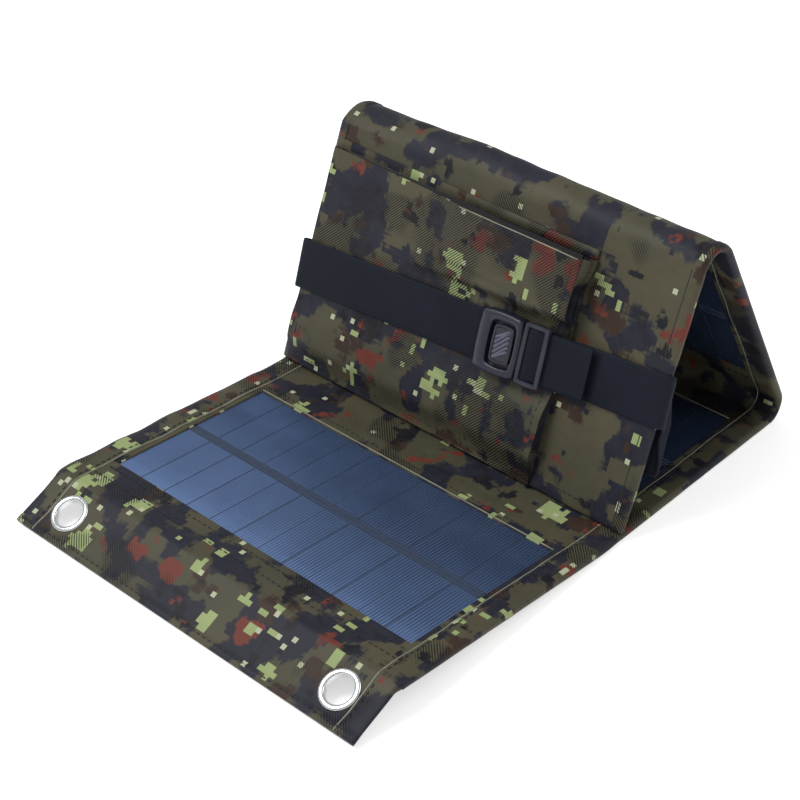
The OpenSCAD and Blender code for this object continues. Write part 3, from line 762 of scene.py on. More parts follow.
def make_leaf(k):
    low, high = REACH[k]
    near = [WINDOW_Y - 1.6 * MM, WINDOW_Y - 0.7 * MM, WINDOW_Y]
    ends_free = k == "d"
    end = high - HALF_T if ends_free else high
    ys = spaced(low, end, 2.4 * MM, *near, *[LEAF_L - m for m in near])
    rows = straight_rows(PLACE[k], ys, run_of(k))
    if ends_free:
        rows += closing_rows(PLACE[k], high, HALF_T, run_of(k))
    piece = shell(f"leaf_{k}_cloth", rows, XS, cell_side(k), outer_side(k), window=True)
    layers = [f"leaf_{k}_{layer}" for layer in ("back_cloth", "front_frame", "binding")]
    fit(piece, "camo", f"leaf_{k}", *layers, *(["front_seam"] if k == "a" else []))
    high - low
    2 * HALF_W * (high - low) - WINDOW_X * (WINDOW_END - WINDOW_Y)


# ---- the folds between leaves ----

# How much of the outer hem a fold keeps from its start to its end
OUTER_HEM_SHARE = {"ab": (1, 0), "bc": (0, 1), "cd": (1, 1)}
FOLD_WRINKLE = {"ab": 0.5 * MM, "bc": 0.7 * MM, "cd": 1.0 * MM}
# How far a fold's left end is pressed in
FOLD_PINCH = {"ab": 0.0, "bc": 0.8 * MM, "cd": 3.8 * MM}


def fold_faces(name, begin, length):
    """The two faces of a fold's cloth, wrinkled most in the middle of its arc."""
    hem_from, hem_to = OUTER_HEM_SHARE[name]

    def across(y):
        return 1 - (2 * (y - begin) / length - 1) ** 2

    def press(x, y):
        return FOLD_PINCH[name] * ramp(-x, 0.25 * HALF_W, HALF_W) * across(y)

    def top(x, y):
        wrinkle = across(y) * FOLD_WRINKLE[name] * ripple(x, y, 17 * MM, 31.0)
        return HALF_T + SKIN + hem(x) + wrinkle + press(x, y)

    def low(x, y):
        edge = hem(x, OUTER_HEM_W) * (hem_from + (hem_to - hem_from) * (y - begin) / length)
        wrinkle = across(y) * FOLD_WRINKLE[name] * (0.5 + ripple(x, y, 17 * MM, 41.0))
        return -HALF_T - SKIN - edge - max(wrinkle, 0.0) + press(x, y)
    return top, low


def make_fold(first, second):
    name = first + second
    begin, length = run_of(first) + LEAF_L, fold_length(first, second)
    top, low = fold_faces(name, begin, length)
    start = PLACE[first].at(0, LEAF_L)
    rows = arc_rows(start, HEADING[first], HEADING[second] - HEADING[first], length, begin, begin, 14)
    piece = dress(shell(f"fold_{name}_cloth", rows, XS, top, low), "camo")
    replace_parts(piece, f"gusset_{name}")
    cable = dress(flat_cables(f"cable_{name}", rows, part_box(f"link_cable_{name}")[1].x), "cable")
    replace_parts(cable, f"link_cable_{name}")
    for moved in (piece, cable, *[lip_along(f"fold_{name}_lip", rows, top, side) for side in SIDES]):
        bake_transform(moved)


def flat_cables(name, rows, half_span):
    """The pair of flat cables that carries current across a fold, each as wide as the room between them."""
    half_t, width = 0.2 * MM, half_span * 2 / 3
    points, faces = [], []
    for side in SIDES.values():
        faces += skinned(len(points), 4, len(rows))
        x0, x1 = side * width - width / 2, side * width + width / 2
        for row in rows:
            points += [row.origin + x * row.place.across + z * row.place.out
                       for x, z in ((x0, -half_t), (x1, -half_t), (x1, half_t), (x0, half_t))]
    return add_object(name, points, faces, smooth_faces=False)


def lip_along(name, rows, top, side):
    """The light folded edge beside a side hem, pale for its worn cloth and a painted highlight."""
    x = SIDES[side] * (HALF_W - HEM_W + 0.1 * MM)
    route = [r.origin + x * r.place.across + (top(x, r.y) + 0.05 * MM) * r.place.out for r in rows]
    return dress(tube(f"{name}_{side}", route, 0.42 * MM), "lip")


# ---- the eyelet flap ----

HOLE_R = 0.86 * EYELET_R
FLAP_TURN = -RISE_A - RISE_FLAP
FLAP_FOLD = arc_length(FLAP.origin, APRON_END, FLAP_TURN)
# Where the folded edge at the flap's tip steps down
TIP_HEM = (-FLAP_L + 3.5 * MM, -FLAP_L + 4.2 * MM)


def flap_rows():
    """Rows from the flap's free tip, up it and round its fold to leaf A's front edge."""
    v0 = REACH["a"][0] - FLAP_FOLD
    rows = closing_rows(FLAP, -FLAP_L, FLAP_T / 2, v0, sign=-1)
    rows += straight_rows(FLAP, spaced(-FLAP_L + FLAP_T / 2, 0.0, 1.3 * MM, *TIP_HEM), v0)
    return rows + arc_rows(FLAP.origin, RISE_FLAP, FLAP_TURN, FLAP_FOLD, 0.0, v0, 6, skip=1)


def from_eyelet(x, y):
    """Distance from the middle of the nearer eyelet."""
    return math.dist((abs(x), y), (EYELET_X, EYELET_Y))


def away_from_eyelet(x, y):
    """0 where the cloth is clamped flat by an eyelet, rising to 1 around it."""
    return ramp(from_eyelet(x, y), EYELET_R + 0.4 * MM, EYELET_R + 6 * MM)


def flap_half_thick(y):
    half_t = FLAP_T / 2 + 0.05 * MM
    return half_t + (HALF_T + SKIN - half_t) * ramp(y, -0.5 * MM, FLAP_FOLD)


def flap_wave(x, y):
    """How the flap curls and waves towards its tip."""
    free = ramp(-y, 0.0, FLAP_L)
    curl = 0.9 * MM * ramp(abs(x), 0.6 * HALF_W, HALF_W)
    return free * (0.55 * MM * (1 + ripple(x, 0, 45 * MM, 71.0)) + curl) * away_from_eyelet(x, y)


def flap_top(x, y):
    calm = away_from_eyelet(x, y)
    soft = max(ripple(x, y, 24 * MM, 77.0) * 0.5, -0.2) * MM * ramp(-y, 0, 8 * MM)
    tip = 0.3 * MM * (1 - ramp(y, *TIP_HEM))
    return flap_half_thick(y) + (hem(x) + soft) * calm + tip + flap_wave(x, y)


def flap_low(x, y):
    return -flap_half_thick(y) + flap_wave(x, y)


def make_flap():
    marks = [s * (EYELET_X + d * MM) for s in (-1, 1) for d in range(-9, 10)]
    marks += [s * (HALF_W - HEM_W + m * MM) for s in (-1, 1) for m in (0.05, 0.55)]
    xs = spaced(-HALF_W + HALF_T, HALF_W - HALF_T, 2.2 * MM, *marks)

    def hole(x, y):
        return from_eyelet(x, y) < HOLE_R

    piece = dress(shell("flap_cloth_soft", flap_rows(), xs, flap_top, flap_low, hole=hole), "camo")
    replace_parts(piece, "flap_cloth", "flap_gusset")
    FLAP_L + FLAP_FOLD
    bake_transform(piece)


def make_eyelets():
    """Turned eyelet barrels with a rolled rim, and the washers that hold them behind the flap."""
    r = EYELET_R
    bore = min(math.hypot(p[0] - EYELET_X, (p - FLAP.origin) @ FLAP.along - EYELET_Y)
               for p in EYELETS if p[0] > 0)
    low, high = FLAP.box("eyelet_barrels")[2]
    foot, seat = FLAP.box("eyelet_washers")[2]
    rim, wall = high - 0.8 * MM, bore + 0.35 * MM
    arc = [math.pi * i / 12 for i in range(13)]
    rolled = [((r + bore) / 2 + (r - bore) / 2 * math.cos(t), rim + (high - rim) * math.sin(t)) for t in arc]
    washer = [(r - 0.3 * MM, seat), (r, seat - 0.2 * MM), (r - 0.4 * MM, foot),
              (bore + 0.8 * MM, foot), (bore + 0.5 * MM, seat)]
    make_turned("eyelet_barrels", rolled + [(bore, low), (wall, low), (wall, rim)])
    make_turned("eyelet_washers", washer)


def make_turned(node, profile, sides=72):
    """A closed (radius, height) profile turned about each eyelet's axis."""
    points, faces = [], []
    for side in SIDES.values():
        faces += skinned(len(points), len(profile), sides, ring=True)
        for k in range(sides):
            t = 2 * math.pi * k / sides
            points += [FLAP.at(side * EYELET_X + r * math.cos(t), EYELET_Y + r * math.sin(t), z)
                       for r, z in profile]
    fit(sharpened(add_object(f"{node}_turned", points, faces)), "eyelet", "flap", node)


# ---- trim ----

def surface_of(place, height, lift=0.0, facing=1):
    """Gives a point just off a face at (x, y), and the direction the face looks in."""
    def surface(x, y):
        return place.at(x, y, height(x, y) + lift), facing * place.out
    return surface


def piping(name, surface, path, radius, look, body):
    """A thin round strip along a path of (x, y) on a surface."""
    fit(tube(name, [surface(x, y)[0] for x, y in path], radius), look, body)


def make_leaf_trim(k):
    """Light folded edges beside the hems and the window, pale for worn cloth and a painted highlight, and
    black seams and stitches.
    """
    low, high = REACH[k]
    top, body = cell_side(k), f"leaf_{k}"
    upper = surface_of(PLACE[k], top, 0.05 * MM)
    outer = surface_of(PLACE[k], outer_side(k), -0.05 * MM, facing=-1)
    ys = spaced(low, high, 3 * MM)
    stitches = Stitches()
    for name, side in SIDES.items():
        x = side * (HALF_W - HEM_W + 1.8 * MM)
        stitches.line(upper, (x, low + 1 * MM), (x, high - 1 * MM))
        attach(lip_along(f"{body}_hem_lip", straight_rows(PLACE[k], ys, run_of(k)), top, name), body)
        if k != "b":
            x = side * (HALF_W - OUTER_HEM_W + 0.1 * MM)
            piping(f"{body}_seam_{name}", outer, [(x, y) for y in ys], 0.35 * MM, "thread", body)
    end_x = HALF_W - HEM_W
    for y in (WINDOW_Y - 4.5 * MM, WINDOW_END + 4.5 * MM):
        stitches.line(upper, (-end_x + 2 * MM, y), (end_x - 2 * MM, y))
    if k == "a":
        stitches.line(upper, (-end_x, 1 * MM), (end_x, 1 * MM))
    if k == "d":
        stitches.line(outer, (-HALF_W + 9 * MM, high - 6 * MM), (HALF_W - 9 * MM, high - 6 * MM))
    stitches.finish(f"{body}_stitches", body)
    edge = [(x, WINDOW_END + 0.7 * MM) for x in spaced(-WINDOW_X, WINDOW_X, 5 * MM)]
    piping(f"{body}_window_lip", surface_of(PLACE[k], top, -0.1 * MM), edge, 0.35 * MM, "lip", body)


def make_flap_trim():
    stitches = Stitches()
    surface = surface_of(FLAP, flap_top, 0.05 * MM)
    tip = -FLAP_L + 3 * MM
    stitches.line(surface, (-HALF_W + 3 * MM, tip), (HALF_W - 3 * MM, tip))
    rows = [r for r in flap_rows() if r.open == 1.0]
    for name, side in SIDES.items():
        x = side * (HALF_W - HEM_W + 1.8 * MM)
        stitches.line(surface, (x, tip + 1 * MM), (x, 0))
        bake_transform(lip_along("flap_hem_lip", rows, flap_top, name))
    stitches.finish("flap_stitches", "flap")


# ---- the pocket ----

POCKET_X, POCKET_Y, (_, MOUTH_H) = BACK.box("pocket_panel")
REG_X, REG_Y, (_, REG_H) = BACK.box("regulator_lid")
PANEL_T = 0.8 * MM
MOUTH_HEM = (POCKET_Y[0] + 3.6 * MM, POCKET_Y[0] + 4.2 * MM)
MOUTH_LEFT_H = 4.2 * MM
PRESSED_H = 4.35 * MM
FOOT_H = 1.3 * MM
# The accordion side from the leaf to the panel: how far it folds out and how high that is
SIDE_FOLD = [(0.0, 1.0), (0.4, 0.88), (0.95, 0.70), (1.0, 0.62), (0.4, 0.46), (0.3, 0.40), (0.9, 0.24),
             (1.0, 0.16), (0.5, 0.06), (0.2, 0.0)]

SLIDE = unit(np.array(JOINTS["buckle_slide"]["axis"], float))
BUTTON = corners("release_button")
BUTTON_MIDDLE = (BUTTON.max(0) + BUTTON.min(0)) / 2


def strap_place():
    """The strap's frame on leaf D's back: x along the strap, y down the leaf, z outwards."""
    point = BUTTON_MIDDLE - SLIDE * BUTTON_MIDDLE[0] / SLIDE[0]
    point = point - BACK.out * ((point - BACK.origin) @ BACK.out)
    return Place(point, np.cross(SLIDE, BACK.out), BACK.out, SLIDE)


STRAP = strap_place()
STRAP_Y = (STRAP.origin - BACK.origin) @ BACK.along
STRAP_SLOPE = (SLIDE @ BACK.along) / SLIDE[0]
STRAP_W = 25 * MM
STRAP_T = 1.2 * MM


def pocket_height(x, y):
    """Outer face of the pocket: low at the left, proud at the mouth's right, pressed under the strap."""
    share = (x - POCKET_X[0]) / (POCKET_X[1] - POCKET_X[0])
    below_strap = y - (STRAP_Y + STRAP_SLOPE * x)
    to_foot = POCKET_Y[1] - y

    mouth = MOUTH_LEFT_H + (MOUTH_H - MOUTH_LEFT_H) * smooth(share * 0.9 + 0.05) * 0.98
    box = ramp(x, REG_X[0] - 48 * MM, REG_X[0] - 1 * MM) * ramp(-y, -REG_Y[1] - 7 * MM, -REG_Y[1])
    upper = max(mouth, (REG_H + PANEL_T + 0.3 * MM) * box)
    beside_box = x > REG_X[0] - 30 * MM
    into = ramp(below_strap, *((-22.7 * MM, -17.2 * MM) if beside_box else (-34 * MM, -15 * MM)))
    height = upper + (PRESSED_H - upper) * into

    below = ramp(below_strap, 15 * MM, 28 * MM) * ramp(to_foot, 1 * MM, 16 * MM)
    height += 3.2 * MM * below * (0.45 + 0.55 * share)
    foot = ramp(to_foot, 0, 14 * MM)
    height = FOOT_H + (height - FOOT_H) * foot
    free = 1 - bump_at(below_strap, 0, 14 * MM)
    waves = 0.7 * ripple(x, y, 30 * MM, 91.0) + 0.35 * ripple(x, y, 12 * MM, 95.0)
    lip = 0.5 * MM * (1 - ramp(y, *MOUTH_HEM)) * ramp(share, 0.25, 0.7)
    return max(height + free * foot * waves * MM, 1.2 * MM) + lip


def pocket_inside(x, y):
    return pocket_height(x, y) - PANEL_T - 0.4 * MM * (y < POCKET_Y[0] + 4 * MM)


def make_pocket():
    (x0, x1), (y0, y1) = POCKET_X, POCKET_Y
    r, v0 = PANEL_T / 2, run_of("d")
    left = x0 + 1 * MM
    rows = closing_rows(BACK, y0, r, v0, sign=-1, least=1.0)
    rows += straight_rows(BACK, spaced(y0 + r, y1 - r, 1.6 * MM, *MOUTH_HEM), v0)
    rows += closing_rows(BACK, y1, r, v0, least=1.0)
    xs = spaced(left, x1, 1.9 * MM)
    piece = shell("pocket_panel_soft", rows, xs, pocket_height, pocket_inside)
    fit(piece, "camo_pocket", "leaf_d", "pocket_panel")
    x1 - x0
    y1 - y0
    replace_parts(make_pocket_side("right", x1), "pocket_sides")
    make_pocket_side("left", left)

    surface = surface_of(BACK, pocket_height, -0.1 * MM)
    mouth = [(x, y0 + 0.5 * MM) for x in spaced(x0 + 0.55 * (x1 - x0), x1 - 1 * MM, 3 * MM)]
    piping("pocket_mouth_lip", surface, mouth, 0.3 * MM, "lip", "leaf_d")
    stitches = Stitches()
    stitches.line(surface, (x0 + 3 * MM, y1 - 4 * MM), (x1 - 3 * MM, y1 - 4 * MM))
    stitches.line(surface, (x1 - 3.5 * MM, y0 + 5 * MM), (x1 - 3.5 * MM, y1 - 5 * MM))
    stitches.finish("pocket_stitches", "leaf_d")


def make_pocket_side(name, x):
    """The accordion side: cloth that folds in between the panel and the leaf."""
    thick, rise = 0.5 * MM, 0.15 * MM
    points, weave, widths = [], [], []
    ys = spaced(POCKET_Y[0], POCKET_Y[1] - 1 * MM, 2 * MM)
    for y in ys:
        height = max(pocket_height(x, y) - PANEL_T, 0.8 * MM) - rise
        depth = (2.8 - 4.2 * ramp(y, POCKET_Y[0] + 3 * MM, POCKET_Y[0] + 18 * MM)) * MM
        depth *= SIDES[name] * min(height / (6 * MM), 1.0)
        line = [np.array([x + depth * a, rise + height * b]) for a, b in SIDE_FOLD]
        steps = [q - p for p, q in zip([line[0], *line], [*line[1:], line[-1]])]
        offsets = [unit(np.array([dz, -dx])) * thick / 2 for dx, dz in steps]
        loop = [p + n for p, n in zip(line, offsets)] + [p - n for p, n in zip(line[::-1], offsets[::-1])]
        points += [BACK.at(px, y, max(pz, 0.05 * MM)) for px, pz in loop]
        weave += [(0.3 + 0.4 * MM * i, run_of("d") + y, 0.0) for i in range(len(loop))]
        widths.append(sum(math.dist(p, q) for p, q in zip(line, line[1:])))
    faces = skinned(0, 2 * len(SIDE_FOLD), len(ys))
    piece = add_object(f"pocket_side_{name}", points, faces, weave)
    fit(piece, "camo_pocket", "leaf_d")
    long = ys[-1] - ys[0]
    np.mean(widths) * long
    return piece


def make_back_lip():
    """The folded strip on the leaf behind the pocket's mouth."""
    (x0, x1), (y0, y1), _ = BACK.box("pocket_back_lip")
    thick, wide = 1.9 * MM, x1 - x0

    def top(x, y):
        crown = math.cos((y - (y0 + y1) / 2) / (y1 - y0) * math.pi * 0.85)
        proud = 0.15 + 0.85 * ramp(x, x0 + 0.2 * wide, x0 + 0.8 * wide)
        waves = 0.2 * MM * ripple(x, y, 20 * MM, 3.0)
        return 0.4 * MM + proud * (thick * (0.55 + 0.45 * crown) + waves)

    rows = straight_rows(BACK, spaced(y0, y1, 0.7 * MM), run_of("d"))
    piece = shell("pocket_back_lip_soft", rows, spaced(x0, x1, 2.5 * MM), top, lambda x, y: 0.1 * MM)
    fit(piece, "camo", "leaf_d", "pocket_back_lip")
    wide * (y1 - y0) * 1.35


def make_hook_tape():
    """The hook tape sewn inside the pocket's mouth."""
    (x0, x1), (y0, y1), (z0, z1) = BACK.box("pocket_hook_tape")

    def top(x, y):
        return pocket_height(x, y) - PANEL_T - 0.5 * MM

    rows = straight_rows(BACK, spaced(y0, y1, 1.2 * MM), run_of("d"))
    xs = spaced(x0, x1, 1.9 * MM)
    piece = shell("pocket_hook_tape_soft", rows, xs, top, lambda x, y: top(x, y) - (z1 - z0))
    fit(piece, "tape", "leaf_d", "pocket_hook_tape")


# ---- strap and buckle ----

SOCKET_X, SOCKET_Y, SOCKET_Z = STRAP.box("buckle_socket")
TONGUE_X, _, TONGUE_Z = STRAP.box("buckle_tongue")
BUCKLE_W = SOCKET_Y[1] - SOCKET_Y[0]
LADDER_L = 13.5 * MM
LADDER_X = TONGUE_X[1] - LADDER_L
TONGUE_W = 12.6 * MM
TONGUE_T = 1.2 * MM
PIN_X = LADDER_X + 4.3 * MM
PIN_Z = TONGUE_Z[0] + 1.4 * MM
BUTTON_X = (BUTTON_MIDDLE - STRAP.origin) @ SLIDE
# Where the strap's middle turns round leaf D's side, and its height over the pocket
EDGE = HALF_W / SLIDE[0] + STRAP_W / 2 * abs(STRAP_SLOPE) + STRAP_T / 2 + 0.35 * MM
OVER = SOCKET_Z[0] + STRAP_T / 2 + 0.05 * MM


def curve_through(points, step):
    """A smooth curve through given points, as evenly spaced points."""
    points = [np.array(p, float) for p in points]
    ends = [2 * points[0] - points[1], *points, 2 * points[-1] - points[-2]]
    line = []
    for p0, p1, p2, p3 in zip(ends, ends[1:], ends[2:], ends[3:]):
        count = max(2, int(np.linalg.norm(p2 - p1) / step))
        for t in (i / count for i in range(count)):
            line.append(0.5 * (2 * p1 + (p2 - p0) * t + (2 * p0 - 5 * p1 + 4 * p2 - p3) * t * t
                               + (3 * p1 - p0 - 3 * p2 + p3) * t ** 3))
    return line + [points[-1]]


def ribbon(name, route, run=0.0):
    """Webbing along a route of (x, z, sideways) points in the strap's frame."""
    line = curve_through(route, 1.2 * MM)
    rows = []
    for i, (x, z, aside) in enumerate(line):
        step = line[min(i + 1, len(line) - 1)] - line[max(i - 1, 0)]
        ahead = unit(step[0] * SLIDE + step[1] * STRAP.out)
        if i:
            run += math.dist(line[i], line[i - 1])
        place = Place(STRAP.at(x, aside, z), ahead, np.cross(STRAP.along, ahead), STRAP.along)
        rows.append(Row(place, run, run, 1.0, place.origin))
    half, r = STRAP_W / 2, STRAP_T / 2

    def top(x, y):
        return r * (1 - 0.25 * ramp(abs(x), half - 1.5 * MM, half)) + 0.05 * MM * ripple(x, y, 4 * MM, 5.0)

    piece = shell(name, rows, spaced(-half + r, half - r, 1.2 * MM), top, lambda x, y: -top(x, y))
    return dress(piece, "webbing")


def make_strap_loop():
    """The strap over the pocket, round leaf D's left edge, slack behind it and back round its right edge."""
    behind = -LEAF_T - STRAP_T / 2 - 1.2 * MM
    drop = 13 * MM
    loop = ribbon("strap_loop", [
        (SOCKET_X[0] + 7 * MM, OVER + 0.6 * MM, 0), (SOCKET_X[0] - 1 * MM, OVER + 0.3 * MM, 0),
        (SOCKET_X[0] - 6 * MM, OVER, 0), (-60 * MM, OVER - 0.05 * MM, 0),
        (-EDGE + 7 * MM, OVER - 0.1 * MM, 0), (-EDGE + 2.2 * MM, OVER - 0.7 * MM, 0),
        (-EDGE + 0.3 * MM, OVER - 2.7 * MM, 0.3 * MM), (-EDGE, -HALF_T, 1 * MM),
        (-EDGE + 0.6 * MM, behind + 0.8 * MM, 2 * MM), (-EDGE + 3 * MM, behind - 0.6 * MM, 3 * MM),
        (-70 * MM, behind - 2 * MM, drop * 0.8), (0, behind - 3 * MM, drop),
        (60 * MM, behind - 3 * MM, drop * 1.4), (EDGE - 9 * MM, behind - 3.2 * MM, drop * 1.8),
        (EDGE - 2 * MM, behind - 3.5 * MM, drop * 1.85), (EDGE + 0.6 * MM, behind - 2.8 * MM, drop * 1.7),
        (EDGE + 0.3 * MM, behind - 1.2 * MM, drop * 1.2), (EDGE - 0.2 * MM, -LEAF_T - 0.9 * MM, drop * 0.6),
        (EDGE + 0.5 * MM, -LEAF_T - 0.2 * MM, drop * 0.15), (EDGE + 0.7 * MM, -HALF_T, 0),
        (EDGE + 0.1 * MM, 0, 0), (EDGE - 1.3 * MM, STRAP_T / 2 + 0.2 * MM, 0),
        (EDGE - 4 * MM, STRAP_T / 2 + 0.6 * MM, 0), (EDGE - 10 * MM, STRAP_T / 2 + 0.75 * MM, 0),
    ])
    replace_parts(loop, "webbing_strap")
    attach(loop, "leaf_d")


def make_strap_tail():
    """The strap from leaf D's right edge to the ladder's pin, round it, and its free tail."""
    pocket_end, ladder_end = POCKET_X[1], LADDER_X + LADDER_L
    under = PIN_Z - 1.8 * MM
    tail = ribbon("strap_tail", [
        (EDGE - 9 * MM, STRAP_T / 2 + 0.72 * MM, 0), (EDGE - 26 * MM, STRAP_T / 2 + 0.8 * MM, 0),
        (pocket_end + 9 * MM, STRAP_T / 2 + 1.6 * MM, 0), (pocket_end + 1 * MM, OVER - 0.1 * MM, 0),
        (ladder_end + 1 * MM, under, 0), (PIN_X, under - 0.05 * MM, 0),
        (PIN_X - 1.7 * MM, PIN_Z, 0), (PIN_X, PIN_Z + 1.75 * MM, 0),
        (ladder_end - 2.2 * MM, under + STRAP_T + 0.35 * MM, 0),
        (ladder_end + 4 * MM, under + STRAP_T + 0.12 * MM, 0),
        (pocket_end + 2 * MM, OVER + STRAP_T + 0.5 * MM, 0),
        (pocket_end + 17 * MM, OVER + STRAP_T - 0.9 * MM, 0),
    ], 0.4)
    tuple(STRAP.at(EDGE - 9 * MM, 0))
    tuple(STRAP.at(pocket_end + 6 * MM, 0))
    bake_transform(tail)


def rounded_loop(length, width, radius, bulge=0.0, corner=6, side=4):
    """Points round a rectangle with round corners; bulge pushes its sides out in the middle."""
    points = []
    quarters = [(1, 1), (-1, 1), (-1, -1), (1, -1)]
    centres = [np.array([sx * (length / 2 - radius), sy * (width / 2 - radius)]) for sx, sy in quarters]
    for q in range(4):
        for i in range(corner + 1):
            t = math.pi / 2 * (q + i / corner)
            facing = np.array([math.cos(t), math.sin(t)])
            points.append(centres[q] + radius * facing)
        begin, end = points[-1], centres[(q + 1) % 4] + radius * facing
        for s in (i / (side + 1) for i in range(1, side + 1)):
            points.append(begin + (end - begin) * s + bulge * 4 * s * (1 - s) * facing)
    return points


def trimmed(length, width, radius, bulge=0.0, less=0.0):
    """The same rounded loop, made less long and wide."""
    return rounded_loop(length - less, width - less, radius, bulge)


def loft(loops, centre, ring=False):
    """Skins a stack of (outline, height) loops in the strap's frame about the centre x."""
    points = [STRAP.at(centre + x, y, height) for outline, height in loops for x, y in outline]
    return points, [f[::-1] for f in skinned(0, len(loops[0][0]), len(loops), ring)]


def merged(name, parts):
    points, faces = [], []
    for part_points, part_faces in parts:
        faces += [tuple(len(points) + i for i in f) for f in part_faces]
        points += part_points
    return sharpened(add_object(name, points, faces))


def cut_away(piece, along, half_width, height):
    """Cuts a box out of a piece, given in the strap's frame."""
    box = [STRAP.at(x, y, z) for x in along for y in (-half_width, half_width) for z in height]
    sides = [(0, 1, 3, 2), (4, 6, 7, 5), (0, 4, 5, 1), (2, 3, 7, 6), (0, 2, 6, 4), (1, 5, 7, 3)]
    cutter = add_object("cutter", box, sides, smooth_faces=False)
    cut = piece.modifiers.new("cut", "BOOLEAN")
    cut.operation, cut.solver, cut.object = "DIFFERENCE", "EXACT", cutter
    piece.modifiers.move(len(piece.modifiers) - 1, 0)
    evaluated = piece.evaluated_get(bpy.context.evaluated_depsgraph_get())
    piece.data = bpy.data.meshes.new_from_object(evaluated)
    piece.modifiers.clear()
    bpy.data.objects.remove(cutter)


def make_socket():
    """The buckle's body: rounded outside, with a well for the button and a slot for the tongue."""
    low, high = SOCKET_Z
    length, middle = SOCKET_X[1] - SOCKET_X[0], sum(SOCKET_X) / 2
    floor = high - 3.3 * MM
    outer = rounded_loop(length, BUCKLE_W, 2.0 * MM, 0.6 * MM)
    soft = trimmed(length, BUCKLE_W, 1.8 * MM, 0.6 * MM, less=0.8 * MM)
    flat = trimmed(length, BUCKLE_W, 1.6 * MM, 0.55 * MM, less=1.6 * MM)

    def well(grow, radius):
        points = rounded_loop(13.8 * MM + grow, 20.8 * MM + grow, radius, 0.35 * MM)
        return [(x + BUTTON_X - middle, y) for x, y in points]

    piece = merged("buckle_socket_shell", [loft([
        (soft, low), (outer, low + 0.7 * MM), (outer, high - 1.5 * MM), (soft, high - 0.35 * MM),
        (flat, high - 0.05 * MM), (well(1.6 * MM, 3 * MM), high),
        (well(0.9 * MM, 2.8 * MM), high - 0.25 * MM),
        (well(0.4 * MM, 2.6 * MM), floor + 0.2 * MM), (well(0.0, 2.5 * MM), floor),
    ], middle)])
    room = 0.3 * MM
    cut_away(piece, (TONGUE_X[0] - room, SOCKET_X[1] + 1 * MM), TONGUE_W / 2 + room,
             (TONGUE_Z[0] - room, TONGUE_Z[0] + TONGUE_T + room))
    fit(piece, "buckle", "leaf_d", "buckle_socket")


def make_button():
    """The release button: a dished plate with slanting ribs."""
    top = STRAP.box("release_button")[2][1]
    length, width = 11.2 * MM, 17.8 * MM
    full = rounded_loop(length, width, 2.2 * MM, 0.3 * MM)
    parts = [loft([
        (full, top - 1.7 * MM), (full, top - 1.0 * MM),
        (trimmed(length, width, 1.9 * MM, 0.3 * MM, less=0.8 * MM), top - 0.55 * MM),
        (trimmed(length, width, 1.6 * MM, 0.25 * MM, less=2.0 * MM), top - 0.5 * MM),
        (trimmed(length, width, 1.4 * MM, 0.2 * MM, less=2.8 * MM), top - 1.1 * MM),
    ], BUTTON_X)]
    half_l, half_w = length / 2 - 1.8 * MM, width / 2 - 1.8 * MM
    count, pitch, slant = 6, 2.4 * MM, 0.9
    for i in range(count):
        middle = (i - (count - 1) / 2) * pitch
        ends = [(x, max(-half_w, min(half_w, middle - x * slant))) for x in (-half_l, half_l)]
        parts.append(rib(ends, top - 1.15 * MM, top - 0.35 * MM))
    fit(merged("release_button_shell", parts), "button", "release_button", "release_button")


def rib(ends, low, high):
    """A raised bar with sloping sides between two (x, y) points on the button."""
    begin, end = (np.array(e) for e in ends)
    ahead = unit(end - begin)
    side = np.array([-ahead[1], ahead[0]])
    loops = []
    for height, half in ((low, 0.75 * MM), (high - 0.15 * MM, 0.5 * MM), (high, 0.3 * MM)):
        inset = ahead * (height - low) * 0.5
        near, far = begin + inset, end - inset
        loops.append(([near - side * half, far - side * half, far + side * half, near + side * half], height))
    return loft(loops, BUTTON_X)


def make_spring():
    """The leaf spring under the button."""
    node = frame["nodes"]["button_spring"]
    piece = bpy.data.objects.new("button_spring_strip", node.data.copy())
    piece.matrix_world = node.matrix_world
    bpy.context.scene.collection.objects.link(piece)
    fit(piece, "steel", "leaf_d", "button_spring")
    foot, head = STRAP.box("button_spring")[2]
    travel = JOINTS["button_press"]["range_m"][1]
    tuple(STRAP.at(BUTTON_X, 0, foot))
    1 - travel / (head - foot)
    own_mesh(piece)


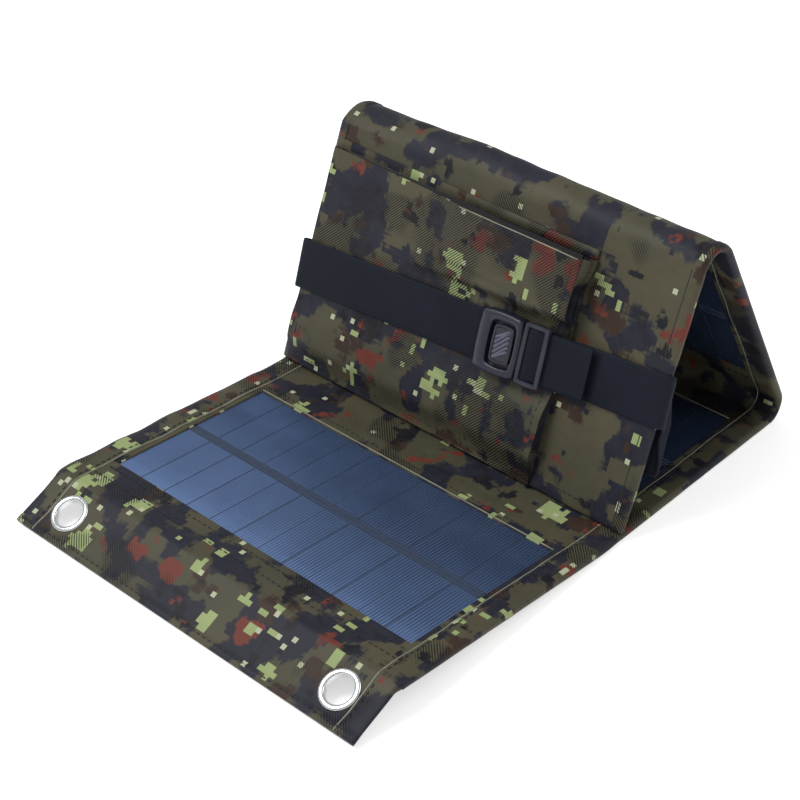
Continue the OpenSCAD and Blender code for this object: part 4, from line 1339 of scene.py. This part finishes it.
def make_tongue():
    """The male half: a ladder frame with a pin that the strap turns round, and the tongue plate."""
    low, high = TONGUE_Z[0] + 0.3 * MM, TONGUE_Z[1]
    outer = rounded_loop(LADDER_L, BUCKLE_W, 1.6 * MM, 0.3 * MM)
    soft = trimmed(LADDER_L, BUCKLE_W, 1.4 * MM, 0.3 * MM, less=0.8 * MM)
    inner = rounded_loop(LADDER_L - 3.6 * MM, BUCKLE_W - 3.4 * MM, 1.0 * MM)
    tight = rounded_loop(LADDER_L - 4.4 * MM, BUCKLE_W - 4.2 * MM, 0.8 * MM)
    ladder = [(soft, low), (outer, low + 0.4 * MM), (outer, high - 0.5 * MM), (soft, high),
              (inner, high), (tight, high - 0.5 * MM), (tight, low + 0.4 * MM), (inner, low)]
    plate_l = LADDER_X - TONGUE_X[0] + 1.5 * MM
    plate_low, plate_high = TONGUE_Z[0], TONGUE_Z[0] + TONGUE_T
    full = rounded_loop(plate_l, TONGUE_W, 1.5 * MM)
    plate = [(full, plate_low), (full, plate_high - 0.2 * MM),
             (trimmed(plate_l, TONGUE_W, 1.3 * MM, less=0.5 * MM), plate_high)]
    piece = merged("buckle_tongue_frame", [
        loft(ladder, LADDER_X + LADDER_L / 2, ring=True), loft(plate, TONGUE_X[0] + plate_l / 2),
        pin(PIN_X, PIN_Z, 1.1 * MM, BUCKLE_W - 3.8 * MM),
    ])
    fit(piece, "buckle", "buckle_tongue", "buckle_tongue")


def pin(x, z, radius, width, sides=20):
    points = []
    for y in (-width / 2, width / 2):
        points += round_loop(STRAP.at(x, y, z), STRAP.across, STRAP.out, radius, sides)
    return points, skinned(0, sides, 2)


# ---- the stage ----

def add_floor():
    size, level = 6.0, -0.4 * MM
    corners_of_floor = [(x * size, y * size, level) for x, y in ((-1, -1), (1, -1), (1, 1), (-1, 1))]
    floor = add_object("floor", corners_of_floor, [(0, 1, 2, 3)], smooth_faces=False)
    floor.data.materials.append(Graph("floor").set(
        Base_Color=(0.8, 0.8, 0.8, 1.0), Roughness=0.9,
        Emission_Color=(1.0, 1.0, 1.0, 1.0), Emission_Strength=0.55))


def add_light(name, place, target, size, power):
    data = bpy.data.lights.new(name, "AREA")
    data.size = size
    data.energy = power
    light = bpy.data.objects.new(name, data)
    light.location = place
    light.rotation_euler = (Vector(target) - Vector(place)).to_track_quat("-Z", "Y").to_euler()
    bpy.context.scene.collection.objects.link(light)


def add_studio():
    world = bpy.data.worlds.new("studio")
    world.use_nodes = True
    background = world.node_tree.nodes["Background"]
    background.inputs["Color"].default_value = (1.0, 1.0, 1.0, 1.0)
    background.inputs["Strength"].default_value = 0.55
    bpy.context.scene.world = world
    bpy.context.scene.view_settings.view_transform = "Standard"
    add_light("key", (-0.6, -0.7, 1.3), (0, -0.05, 0.05), 0.7, 15)
    add_light("rim", (0.7, 0.5, 1.0), (0, 0, 0.05), 0.8, 3)


add_camera()
dress_cad_nodes()
for leaf in LEAVES:
    make_leaf(leaf)
    make_leaf_trim(leaf)
for pair in zip(LEAVES, LEAVES[1:]):
    make_fold(*pair)
make_flap()
make_flap_trim()
make_eyelets()
make_pocket()
make_back_lip()
make_hook_tape()
make_strap_loop()
make_strap_tail()
make_socket()
make_button()
make_spring()
make_tongue()
add_floor()
add_studio()
